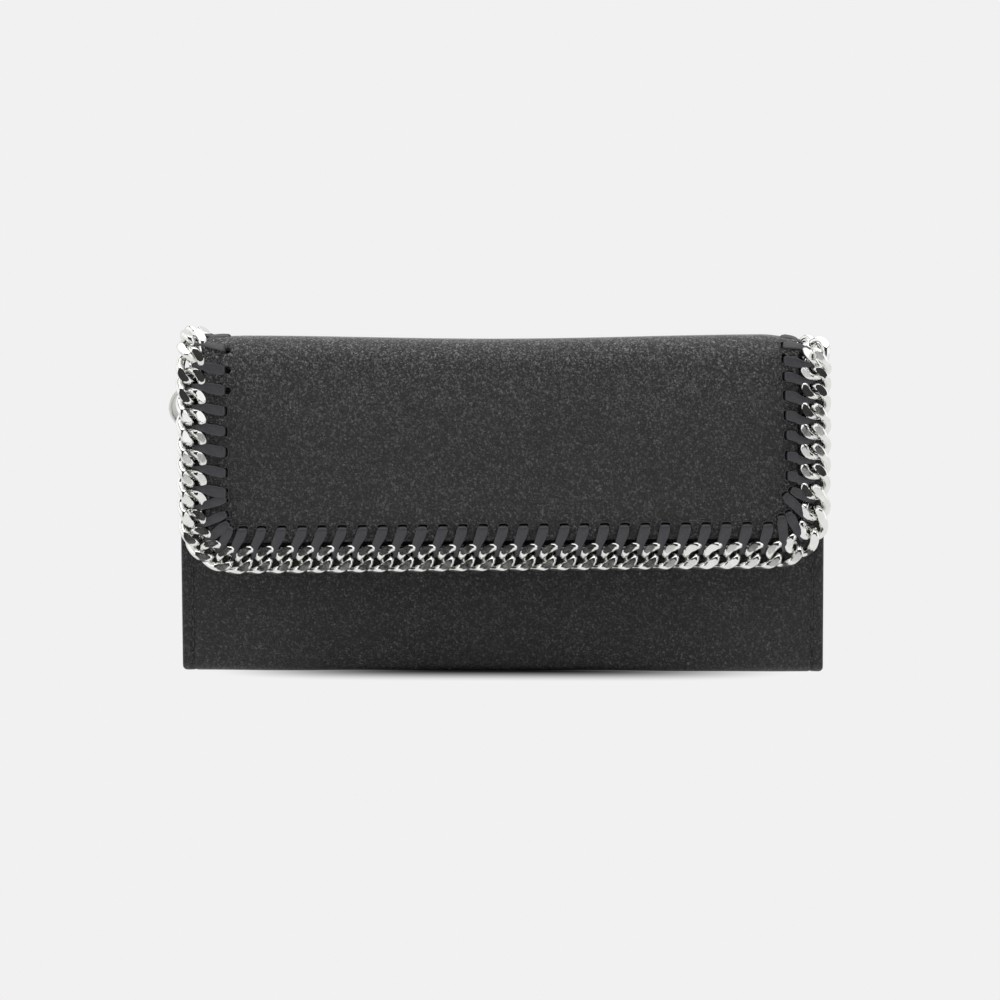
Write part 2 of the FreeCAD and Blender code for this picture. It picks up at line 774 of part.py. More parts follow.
def front_wall():
    holes = round_hole("socket_stem_hole", "{snap_stem}")
    panel = upright_panel(
        "front_panel", "{body_width}/2", "{leather_front}", "{front_leather_ply}",
        "{board_ply}", "{front_top}", ("low", "high"), "{corner_round}",
    )
    keep("front_leather", cut("front_leather", panel, holes))
    inset = "{body_width}/2 - {board_margin}"
    low, top = "{pocket_low}", "{front_top} - {board_margin}"
    seat = round_hole("socket_washer_seat", "{socket_radius}")
    plate("front_board", inset, "{board_front}", "{front_board_ply}", low, top, seat)
    plate("front_lining", inset, "{lining_front}", "{front_lining_ply}", low, top)
    for index in range(FRONT_TIERS):
        label = f"front_card_tier_{index + 1}"
        rear = f"{{lining_front}} + {index + 1} * {{front_tier_ply}}"
        top = f"{{first_tier_top}} + {FRONT_TIERS - 1 - index} * {{tier_step}}"
        plate(label, "{tier_width}/2", rear, "{front_tier_ply}", low, top)
    snap_socket()
    washer("front_snap_washer", "{board_front}", "{front_board_ply}", "{socket_radius}")


def snap_socket():
    """The half of the magnetic snap on the front wall, with a recess for the nose."""
    stem = "{front_leather_ply}"
    floor_depth = "-({socket_depth} - {recess_depth})"
    outline = [("0", stem), ("{snap_stem}", stem), ("{snap_stem}", "0"), ("{socket_radius}", "0"),
               ("{socket_radius}", "-{socket_depth}"), ("{socket_recess}", "-{socket_depth}"),
               ("{socket_recess}", floor_depth), ("0", floor_depth)]
    keep("snap_socket", turned("snap_socket", outline, "0", "{front_outer}", "{snap_height}"))


# ---- side gussets -----------------------------------------------------------------------


def gusset_leaf(label, side, wall, middle, wall_sign):
    """One leaf of a V-folded gusset, from a wall to near the fold line between two walls."""
    ply, clearance = cell("gusset_ply"), cell("gusset_clearance")
    outer, inner = cell("gusset_edge"), cell("gusset_edge") - cell("gusset_reach")
    fold = middle + wall_sign * clearance
    thick = wall_sign * ply
    corners = [(outer, wall), (outer, wall - thick), (inner, fold), (inner, fold + thick)]
    if side < 0:
        corners = [(-across, deep) for across, deep in reversed(corners)]
    body = DOC.addObject("PartDesign::Body", label)
    sketch = sketch_on(body, f"{label}_outline", "XY_Plane")
    closed_lines(sketch, corners)
    pad = body.newObject("PartDesign::Pad", f"{label}_pad")
    pad.Profile = sketch
    bind(pad, "Length", "{gusset_top} - {pocket_low}")
    bind(body, "Placement.Base.z", "{pocket_low}")
    keep(label, body)


def gussets():
    rear_middle = (cell("back_inner") + cell("pocket_rear")) / 2
    front_middle = (cell("pocket_front") + cell("lining_front")) / 2
    for word, side in (("left", -1), ("right", 1)):
        gusset_leaf(f"rear_gusset_wall_leaf_{word}", side, cell("back_inner"), rear_middle, 1)
        gusset_leaf(f"rear_gusset_pocket_leaf_{word}", side, cell("pocket_rear"), rear_middle, -1)
        gusset_leaf(f"front_gusset_pocket_leaf_{word}", side, cell("pocket_front"), front_middle, 1)
        gusset_leaf(f"front_gusset_wall_leaf_{word}", side, cell("lining_front"), front_middle, -1)


# ---- charm ------------------------------------------------------------------------------


def charm():
    """Blank disc on a jump ring through the chain's last link on the left of the back."""
    ring = DOC.addObject("Part::Torus", "charm_ring")
    bind(ring, "Radius1", "{ring_radius}")
    bind(ring, "Radius2", "{ring_wire}")
    middle = V(-cell("chain_half_span"), cell("ring_mid_y"), cell("ring_mid_z"))
    ring.Placement = FreeCAD.Placement(middle, FreeCAD.Rotation(V(0, 1, 0), 90))
    keep("charm_ring", ring)
    half_ply = "{disc_ply}/2"
    outline = [("0", f"-{half_ply}"), ("{disc_radius}", f"-{half_ply}"),
               ("{disc_radius}", half_ply), ("0", half_ply)]
    height = "{eye_height} + {eye_inset} - {disc_radius}"
    blank = turned("disc_blank", outline, "-{chain_half_span}", "{disc_mid_y}", height)
    eye = V(-cell("chain_half_span"), cell("disc_mid_y") + cell("disc_ply"), cell("eye_height"))
    punch = Part.makeCylinder(cell("eye_radius"), 3 * cell("disc_ply"), eye, V(0, -1, 0))
    keep("charm_disc", cut("charm_disc", blank, solids("disc_eye", [punch])))


def build():
    fill_sheet()
    back_wall()
    base()
    rear_tiers()
    fold_strip("rear_fold", 1)
    spine()
    fold_strip("front_fold", -1)
    flap()
    zip_pocket()
    zip_tapes()
    zip_teeth("zip_teeth_rear", 1)
    zip_teeth("zip_teeth_front", -1)
    zip_stops()
    slider()
    zip_pull()
    front_wall()
    gussets()
    charm()
    DOC.recompute()


def check_and_write():
    faulty = [o.Name for o in DOC.Objects if "Invalid" in o.State or "Error" in o.State]
    if faulty:
        raise RuntimeError(f"objects in error: {faulty}")
    os.makedirs("parts", exist_ok=True)
    for label, thing in NODES.items():
        shape = thing.Shape
        if shape.isNull() or not shape.isValid() or not shape.Solids:
            raise RuntimeError(f"{label} has no valid solid")
        if min(solid.Volume for solid in shape.Solids) <= 0:
            raise RuntimeError(f"{label} holds a solid with no volume")
        shape.exportStep(f"parts/{label}.step")
        box = shape.BoundBox
        reach = (box.XMin, box.XMax, box.YMin, box.YMax, box.ZMin, box.ZMax)
        spans = " ".join(f"{value:7.2f}" for value in reach)
        print(f"{label:32s} {len(shape.Solids):3d} {shape.Volume:10.1f}  {spans}")


build()
check_and_write()
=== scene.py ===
import math
import bmesh
import bpy
import numpy as np
from mathutils import Matrix, Vector


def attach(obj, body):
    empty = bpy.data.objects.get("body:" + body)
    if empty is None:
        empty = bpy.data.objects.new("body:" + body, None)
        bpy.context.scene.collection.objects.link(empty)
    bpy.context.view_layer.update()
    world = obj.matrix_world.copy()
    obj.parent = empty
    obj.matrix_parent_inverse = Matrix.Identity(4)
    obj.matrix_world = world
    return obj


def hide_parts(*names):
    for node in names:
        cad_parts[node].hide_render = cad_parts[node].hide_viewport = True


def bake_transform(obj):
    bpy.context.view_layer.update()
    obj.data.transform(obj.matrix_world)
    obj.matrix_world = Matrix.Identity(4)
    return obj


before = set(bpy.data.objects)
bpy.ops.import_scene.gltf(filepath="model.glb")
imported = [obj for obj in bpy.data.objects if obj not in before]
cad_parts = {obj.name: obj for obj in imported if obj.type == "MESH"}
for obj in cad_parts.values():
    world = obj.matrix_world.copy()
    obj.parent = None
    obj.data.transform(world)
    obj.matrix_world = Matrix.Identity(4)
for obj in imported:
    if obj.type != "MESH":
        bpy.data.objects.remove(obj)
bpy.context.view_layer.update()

RANDOM = np.random.default_rng(7)
MM = 0.001

# ---- sizes of the wallet, in millimetres ----

HALF_BODY = 95.0          # half the width of the body
TOP = 99.4                # top of the fold
WALL = 2.4                # leather, board and lining together
LEATHER = 1.6             # leather with its board
CHAIN_X = 92.0            # chain centreline from mid width
CHAIN_Z = 34.0            # chain centreline along the flap's lower edge
CHAIN_BEND = 12.5         # radius of the chain at the lower corners
EDGE = 5.0                # leather edge inside the chain centreline
HOLE = 9.4                # lace hole inside the chain centreline
LEFT_HOLE = 10.0          # the same along the left edge
LEFT_X = 90.7             # chain centreline at the left, where the chain lies a little further in
LINKS = 49
MID_TOP = TOP - WALL / 2
SIDE_RUN = MID_TOP - CHAIN_Z - CHAIN_BEND
CHARM_X = -94.6           # the charm hangs at the outer side of its link
LOW_RUN = 2 * (CHAIN_X - CHAIN_BEND)
PITCH = (2 * SIDE_RUN + LOW_RUN + math.pi * CHAIN_BEND) / (LINKS + math.sqrt(2))
LEG = PITCH / math.sqrt(2)
FOLD_Z = MID_TOP - LEG
MID_Y = PITCH + LEG       # mid-plane of the back wall; the flap's is at -MID_Y
BACK_Y = MID_Y + WALL / 2
FOLD_R = 8.4              # outer radius of the rounded fold
FOLD_CZ = TOP - FOLD_R
FOLD_CY = BACK_Y - FOLD_R
FRONT_Y = -7.085
FRONT_TOP = 90.0
POCKET_REAR, POCKET_FRONT = 3.315, -0.385
BACK_INNER = MID_Y - WALL / 2
FRONT_LEATHER = 1.4       # thickness of the front skin
FRONT_WALL = 1.8          # front skin and front lining together
FRONT_LINING = FRONT_Y + FRONT_WALL
FRONT_SEAM = 3.3          # seam inside the front wall's side edges


def v3(x, y, z):
    return np.array([x, y, z], float)


# ---- meshes ----


def mesh_object(name, verts, faces, material, uv=None, sharp=35.0):
    """An object from vertices in millimetres."""
    mesh = bpy.data.meshes.new(name)
    mesh.from_pydata((np.asarray(verts, float) * MM).tolist(), [], [list(f) for f in faces])
    mesh.validate()
    mesh.update()
    mesh.shade_smooth()
    mesh.set_sharp_from_angle(angle=math.radians(sharp))
    if uv is not None:
        layer = mesh.uv_layers.new(name="grain")
        index = np.empty(len(mesh.loops), dtype=np.int32)
        mesh.loops.foreach_get("vertex_index", index)
        layer.data.foreach_set("uv", np.asarray(uv, np.float32)[index].ravel())
    obj = bpy.data.objects.new(name, mesh)
    bpy.context.scene.collection.objects.link(obj)
    obj.data.materials.append(material)
    return obj


class Build:
    """Collects vertices and faces of one object."""

    def __init__(self):
        self.verts, self.faces, self.uvs = [], [], []
        self.count = 0

    def add(self, verts, faces, uv=None):
        verts = np.asarray(verts, float)
        base = self.count
        self.verts.append(verts)
        self.faces += [tuple(base + i for i in f) for f in faces]
        self.uvs.append(np.zeros((len(verts), 2)) if uv is None else np.asarray(uv, float))
        self.count += len(verts)

    def make(self, name, material, sharp=35.0, with_uv=True, bend=False, dip=False):
        verts = np.concatenate(self.verts)
        if bend:
            verts = sway(verts)
        if dip:
            verts = settled(verts)
        uv = np.concatenate(self.uvs) if with_uv else None
        return mesh_object(name, verts, self.faces, material, uv, sharp)


def grid_faces(rows, cols, wrap_rows=False, wrap_cols=False, flip=False):
    faces = []
    for i in range(rows if wrap_rows else rows - 1):
        for j in range(cols if wrap_cols else cols - 1):
            a = i * cols + j
            b = i * cols + (j + 1) % cols
            c = ((i + 1) % rows) * cols + (j + 1) % cols
            d = ((i + 1) % rows) * cols + j
            faces.append((a, d, c, b) if flip else (a, b, c, d))
    return faces


# ---- places along the chain ----


def station(
    middle, along, outward, inward, inset, lean, yaw=0.0, nod=0.0, spin=0.0, slide=None, lift=0.0, tilt=0.0
):
    """A place on the chain: how the link lies there, and where its thong goes."""
    slide = along if slide is None else slide
    return {
        "mid": middle, "along": along, "out": outward, "in": inward, "inset": inset, "slide": slide,
        "lean": lean, "yaw": yaw, "nod": nod, "spin": spin, "lift": lift, "tilt": tilt, "slot": True,
    }


# how far each link of the flap nods down (minus) or up, in degrees, from the top left round to the top right
NODS = [2.5, 2.5, 2.0, 2.0, 0.0, 0.5, 0.0, -0.5, 2.5, 2.5] + [2.5] * 22
NODS += [1.9, 1.2, 0.4, -0.6, 1.2, 1.75, 1.3, -1.0, -1.0, 0.0, 2.5, 0.5, -0.5, 0.0, 1.5, 1.5, -1.5]
# how far each link of the two sides turns towards the middle of the wallet, in degrees
LEFT_TURNS = [4.0, 16.0, 25.0, 27.0, 28.0, 29.0, 28.0, 28.0]
RIGHT_TURNS = [27.0, 26.0, 11.0, 21.0, 22.5, 22.0, 10.0, 11.0, 27.0]
# where the thongs of the corner links go through the flap: x, z
CORNER_HOLES = {
    7: (-80.7, 52.0), 8: (-80.6, 47.6), 9: (-80.0, 44.9), 10: (-79.4, 43.9),
    38: (82.4, 45.9), 39: (84.2, 46.9), 40: (83.2, 52.2), 41: (85.0, 53.6),
}


def smooth_ramp(x, low, high):
    t = min(max((x - low) / (high - low), 0.0), 1.0)
    return t * t * (3 - 2 * t)


def flap_stations():
    """The links round the flap, from the fold at the left to the fold at the right."""
    arc = math.pi * CHAIN_BEND / 2
    side, low = FOLD_Z - CHAIN_Z - CHAIN_BEND, LOW_RUN - CHAIN_X + LEFT_X
    found = []
    for k in range(LINKS):
        run = (k + 0.5) * PITCH
        run += -2.2 * smooth_ramp(run, side - 8, side + arc + 8)
        run += 1.9 * smooth_ramp(run, side + arc + low - 12, side + 2 * arc + low + 12)
        inset, lean, yaw, spin = HOLE, 2.5, 0.0, 0.0
        if run < side:
            spot, along, inward = v3(-LEFT_X, 0, FOLD_Z - run), v3(0, 0, -1), v3(1, 0, 0)
            inset, lean, yaw = LEFT_HOLE, 1.3, -LEFT_TURNS[min(k, 7)]
        elif run < side + arc:
            a = (run - side) / CHAIN_BEND
            inward = v3(math.cos(a), 0, math.sin(a))
            spot = v3(CHAIN_BEND - LEFT_X, 0, CHAIN_Z + CHAIN_BEND) - inward * CHAIN_BEND
            along, yaw = v3(math.sin(a), 0, -math.cos(a)), -14.0 * math.cos(a)
        elif run < side + arc + low:
            spot = v3(run - side - arc + CHAIN_BEND - LEFT_X, 0, CHAIN_Z)
            along, inward = v3(1, 0, 0), v3(0, 0, 1)
            lean = 1.9 - 0.0075 * spot[0]
        elif run < side + 2 * arc + low:
            a = (run - side - arc - low) / CHAIN_BEND
            inward = v3(-math.sin(a), 0, math.cos(a))
            spot = v3(CHAIN_X - CHAIN_BEND, 0, CHAIN_Z + CHAIN_BEND) - inward * CHAIN_BEND
            along, yaw = v3(math.cos(a), 0, math.sin(a)), 22.0 * math.sin(a)
        else:
            climb = run - side - 2 * arc - low
            spot = v3(CHAIN_X, 0, CHAIN_Z + CHAIN_BEND + climb)
            along, inward = v3(0, 0, 1), v3(-1, 0, 0)
            inset, lean = 7.6 + 1.7 * climb / side, 1.8 - 1.1 * smooth_ramp(climb, side - 12, side)
            yaw, spin = RIGHT_TURNS[min(k - 40, 8)], 4.0
        spot[1] = -MID_Y
        slide = along
        if k in CORNER_HOLES:
            gap = v3(CORNER_HOLES[k][0], spot[1], CORNER_HOLES[k][1]) - spot
            inset, lean = np.linalg.norm(gap), 0.0
            inward = gap / inset
            slide = v3(inward[2], 0, -inward[0])
        lift = 1.2 * abs(yaw) / 25.0
        found.append(station(spot, along, v3(0, -1, 0), inward, inset, lean, yaw, NODS[k], spin, slide, lift))
    for spot in found[:2]:
        spot["slot"] = False
    return found


def side_stations(y, z, along, outward, left=(0.0, 0.0), right=(0.0, 0.0)):
    """One link at each side, lifted and tilted by its own pair of amounts."""
    places = ((-1, LEFT_X, LEFT_HOLE, left), (1, CHAIN_X, HOLE, right))
    return [
        station(v3(s * x, y, z), along, outward, v3(-s, 0, 0), inset, 0.0, lift=pair[0], tilt=pair[1])
        for s, x, inset, pair in places
    ]


SLOPE = math.sqrt(0.5)
STATIONS = {
    "shell": side_stations(MID_Y, FOLD_Z - PITCH / 2, v3(0, 0, 1), v3(0, 1, 0)),
    "rear_fold": side_stations(
        PITCH + LEG / 2, MID_TOP - LEG / 2, v3(0, -SLOPE, SLOPE), v3(0, SLOPE, SLOPE),
        (0.3, -6.0), (-0.6, 12.0),
    ),
    "spine": side_stations(
        -PITCH / 2, MID_TOP, v3(0, -0.94, -0.34), v3(0, -0.34, 0.94), (0.7, -16.0), (-2.7, 30.0)
    ) + side_stations(
        PITCH / 2, MID_TOP, v3(0, -0.98, 0.17), v3(0, 0.17, 0.98), (0.7, -16.0), (-2.7, 30.0)
    ),
    "front_fold": side_stations(
        -PITCH - LEG / 2, MID_TOP - LEG / 2, v3(0, -SLOPE, -SLOPE), v3(0, -SLOPE, SLOPE),
        (0.4, -6.0), (-0.6, 12.0),
    ),
    "flap": flap_stations(),
}


STATIONS["front_fold"][0].update(slot=False, lean=1.8)


def place(spot, u, v, w):
    """Point at u along the chain, v towards the leather and w outwards."""
    return spot["mid"] + spot["slide"] * u + spot["in"] * v + spot["out"] * w


def turned(axis, degrees, vectors):
    """Vectors turned about an axis."""
    turn = np.array(Matrix.Rotation(math.radians(degrees), 3, Vector(axis)))
    return vectors @ turn.T


def link_frame(spot):
    """Middle and axes (rows: along, across, out) of one link as it really lies."""
    across = np.cross(spot["out"], spot["along"])
    axes = np.stack([spot["along"], across, spot["out"]])
    axes = turned(spot["out"], spot["spin"], axes)
    axes = turned(v3(0, 0, 1), -spot["yaw"], axes)
    axes = turned(v3(1, 0, 0), -spot["nod"], axes)
    if spot["tilt"]:
        toward = np.cross(spot["in"], spot["out"])
        axes = turned(toward, spot["tilt"], axes)
    return spot["mid"] + spot["out"] * spot["lift"], axes


def sway(points):
    """The flap hangs a touch lower at the left than at the right."""
    points = np.array(points, float)
    drop = np.clip((FOLD_Z - points[..., 2]) / (FOLD_Z - CHAIN_Z), 0, 1.15)
    near = np.clip((-points[..., 1] - 2.0) / 6.0, 0, 1)
    points[..., 2] += (0.45 + 0.95 * points[..., 0] / CHAIN_X) * drop * near
    return points


def settled(points):
    """The fold sinks a little in its middle, and its right end is pulled down by the chain."""
    middle = np.cos(np.pi / 2 * np.clip(points[:, 0] / 80.0, -1, 1)) ** 2
    right = np.clip((points[:, 0] - 77.0) / 15.0, 0, 1)
    top = np.clip((points[:, 2] - 84.0) / 12.0, 0, 1)
    points = points.copy()
    points[:, 2] -= (1.1 * middle + 1.5 * right * right * (3 - 2 * right)) * top * top * (3 - 2 * top)
    return points


# ---- chain ----

WIRE = 2.4                # thickness of the wire
BROAD = 2.7               # width of the pressed wire at the long sides
LINK_A, LINK_B, LINK_C = 4.5, 3.15, 1.5
FLAT = 2.2                # half the thickness left by the grinding


def link_centre(t):
    height = (np.sin(2 * t) + 0.1 * np.sin(6 * t)) / 0.9
    return np.stack([LINK_A * np.cos(t), LINK_B * np.sin(t), -LINK_C * height], 1)


def rolls(height):
    """Angles round the wire, with one vertex on each rim of the ground facets."""
    front = np.arccos(np.clip((FLAT - height) / (WIRE / 2), -1, 0.92))
    back = np.arccos(np.clip((FLAT + height) / (WIRE / 2), -1, 0.92))
    stops = [-front, front, np.pi - back, np.pi + back, 2 * np.pi - front]
    steps = [8, 6, 8, 6]
    parts = [np.linspace(stops[i], stops[i + 1], steps[i] + 1)[:-1] for i in range(4)]
    return np.concatenate(parts, 0).T


def link_points(rings=70):
    """One curb link: a twisted oval of wire, ground flat on both faces, in local axes."""
    t = np.linspace(0, 2 * np.pi, rings, endpoint=False)
    centre = link_centre(t)
    tangent = link_centre(t + 0.01) - link_centre(t - 0.01)
    tangent /= np.linalg.norm(tangent, axis=1)[:, None]
    across = np.stack([tangent[:, 1], -tangent[:, 0], 0 * t], 1)
    across /= np.linalg.norm(across, axis=1)[:, None]
    upward = np.cross(across, tangent)
    upward *= np.sign(upward[:, 2])[:, None]
    roll = rolls(centre[:, 2])[:, :, None]
    broad = (WIRE + (BROAD - WIRE) * np.sin(t) ** 2)[:, None, None] / 2
    ring = np.cos(roll) * WIRE / 2 * upward[:, None] + np.sin(roll) * broad * across[:, None]
    points = (centre[:, None] + ring).reshape(-1, 3)
    points[:, 2] = np.clip(points[:, 2], -FLAT, FLAT)
    return points, grid_faces(rings, roll.shape[1], True, True)


def chain(name, body, stations, node):
    points, faces = link_points()
    build = Build()
    for spot in stations:
        middle, axes = link_frame(spot)
        build.add(points @ axes + middle, faces)
    obj = build.make(name, MATERIAL["chain"], sharp=32, with_uv=False, bend=body == "flap", dip=True)
    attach(obj, body)
    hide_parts(node)


# ---- laces ----


def between(p0, p1, p2, p3, f):
    """Catmull-Rom point at the share f of the way from p1 to p2."""
    square, cube = 2 * p0 - 5 * p1 + 4 * p2 - p3, 3 * p1 - p0 - 3 * p2 + p3
    return 0.5 * (2 * p1 + (p2 - p0) * f + square * f * f + cube * f**3)


def smooth_path(points, steps):
    """Closed Catmull-Rom curve through the points."""
    points = np.asarray(points, float)
    count = len(points)
    out = []
    for i in range(count):
        p0, p1, p2, p3 = (points[(i + k - 1) % count] for k in range(4))
        for s in range(steps):
            f = s / steps
            out.append(between(p0, p1, p2, p3, f))
    return np.array(out)


def lace(build, spot):
    """A flat thong in a closed loop: out of the hole, over the leather edge, through the link."""
    inset, lean, lift = spot["inset"], spot["lean"], spot["lift"]
    at_hole, widest = (2.7, 3.3) if spot["slide"] is spot["along"] else (2.0, 2.9)
    narrow, ease = 0.0, 0.0
    if not spot["nod"] and not spot["yaw"]:
        at_hole, widest, narrow = 2.2, 2.5, 0.35
        ease = -0.5 if spot["lean"] or spot["mid"][1] < -PITCH else 0.0
    # v towards the leather, w outwards, width, share of the sideways lean
    half = [
        (inset - 0.15, 0.7, at_hole - 0.5, 1.0),
        (inset - 0.3, 1.4, at_hole, 1.0),
        (inset - 0.95, 1.72, at_hole + 0.35, 0.95),
        (inset - 2.6, 1.7, widest, 0.75),
        (4.9, 1.5, widest - 0.25, 0.35),
        (3.9, 1.35, 2.6 - narrow, 0.15),
        (2.6, 1.2, 2.0 - narrow, 0.05),
        (1.5, 0.85, 1.6 - narrow, 0.0),
        (0.5, 0.35, 1.5 - narrow, 0.0),
    ]
    if abs(spot["mid"][1]) < PITCH:
        # on the top of the fold the thongs are pulled into the hide
        half = [(v, w * 0.8 if v > 4.0 else w, width, shift) for v, w, width, shift in half]
    back = [(v, -w, width, shift) for v, w, width, shift in reversed(half)]
    path = smooth_path(half + back, 4)
    count = len(path)
    ply = 0.6
    roll = np.linspace(0, 2 * np.pi, 14, endpoint=False)
    cross_u = np.sign(np.cos(roll)) * np.abs(np.cos(roll)) ** 0.4
    cross_n = np.sign(np.sin(roll)) * np.abs(np.sin(roll)) ** 0.6
    slant, breadth, rise = RANDOM.uniform(-0.22, 0.22), RANDOM.uniform(0.93, 1.05), RANDOM.uniform(-0.05, 0.1)
    verts, uvs = [], []
    run = 0.0
    for i in range(count):
        v, w, width, shift = path[i]
        dv, dw = path[(i + 1) % count][:2] - path[i - 1][:2]
        size = math.hypot(dv, dw) or 1.0
        nv, nw = dw / size, -dv / size
        run += size / 2
        raised = 0.6 * lift * np.clip((5.4 - v) / 2.6, 0, 1) + (rise if w > 1.3 else 0.0)
        for cu, cn in zip(cross_u, cross_n):
            u = (lean + slant) * shift + ease * (1 - shift) + cu * width * breadth / 2
            crown = cn * ply / 2 * (1.0 - 0.25 * cu * cu)
            verts.append(place(spot, u, v + nv * crown, w + nw * crown + raised))
            uvs.append((u, run))
    build.add(verts, grid_faces(count, len(roll), True, True), uvs)


def laces(name, body, stations, node):
    build = Build()
    for spot in stations:
        lace(build, spot)
    obj = build.make(name, MATERIAL["lace"], sharp=50, bend=body == "flap", dip=True)
    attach(obj, body)
    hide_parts(node)


def hole_outline(spot, grow=0.0, count=28):
    """The punched hole: a slot as wide as the thong, or round where the thong lies to one side."""
    turns = np.linspace(0, 2 * np.pi, count, endpoint=False)
    if spot["slot"]:
        long, short, forward, blunt = (1.1 if spot["slide"] is not spot["along"] else 1.5), 0.62, 0.1, 0.7
    else:
        long, short, forward, blunt = 1.12, 1.12, 0.75, 1.0
    points = []
    for a in turns:
        u = spot["lean"] + (long + grow) * math.copysign(abs(math.cos(a)) ** blunt, math.cos(a))
        v = spot["inset"] + forward + (short + grow) * math.sin(a)
        points.append(place(spot, u, v, 0))
    return points


def hole_rims(name, body, stations):
    """Raised leather lips round the punched holes."""
    build = Build()
    roll = np.linspace(0, 2 * np.pi, 10, endpoint=False)
    minor = 0.2
    for spot in stations:
        outline = np.array(hole_outline(spot, 0.1, 32))
        centre = outline.mean(0)
        rise = spot["out"] * (WALL / 2 - 0.02)
        verts = []
        for point in outline:
            radial = (point - centre) / np.linalg.norm(point - centre)
            for a in roll:
                across, along = radial * minor * math.cos(a), spot["out"] * minor * 0.8 * math.sin(a)
                verts.append(point + rise + across + along)
        build.add(verts, grid_faces(len(outline), len(roll), True, True))
    obj = build.make(name, MATERIAL["rim"], sharp=60, bend=body == "flap", dip=True)
    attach(obj, body)


# ---- sheets ----

SIDE_BAND = 5.0           # columns this near a side edge follow it where a sheet narrows
CALM = 12.0               # the waves of the hide fade over this distance towards a side or a seam


def arc(cy, cz, r, start, end, step=1.0):
    count = max(3, int(abs(math.radians(end - start)) * r / step) + 1)
    found = []
    for a in np.radians(np.linspace(start, end, count)):
        found.append((cy + r * math.cos(a), cz + r * math.sin(a)))
    return found


def line(start, end, step):
    length = math.hypot(end[0] - start[0], end[1] - start[1])
    count = max(2, int(length / step) + 1)
    return [tuple(p) for p in np.linspace(start, end, count)]


def joined(*runs):
    """One path in (y, z) from several runs, without repeated points."""
    path = [runs[0][0]]
    for run in runs:
        for point in run:
            if math.hypot(point[0] - path[-1][0], point[1] - path[-1][1]) > 1e-4:
                path.append(point)
    return np.array(path, float)


def path_length(path):
    return float(np.sum(np.linalg.norm(np.diff(path, axis=0), axis=1)))


def edge_steps(limit):
    return [d for d in (0.0, 0.06, 0.2, 0.42, 0.7, 1.1, 1.8, 2.8) if d < limit]


def rounded(distance, radius):
    f = np.clip(distance / radius, 0, 1)
    return np.sqrt(1 - (1 - f) ** 2)


def refined(path, free_start, free_end):
    """Extra rows close to the free ends, so that the edges can be rounded."""
    path = list(map(tuple, path))
    for is_end in (False, True):
        if not (free_end if is_end else free_start):
            continue
        points = path[::-1] if is_end else path
        p, q = np.array(points[0]), np.array(points[1])
        length = np.linalg.norm(q - p)
        extra = [tuple(p + (q - p) * d / length) for d in (0.06, 0.2, 0.42, 0.7, 1.0) if d < length * 0.95]
        points = [points[0]] + extra + points[1:]
        path = points[::-1] if is_end else points
    return np.array(path, float)


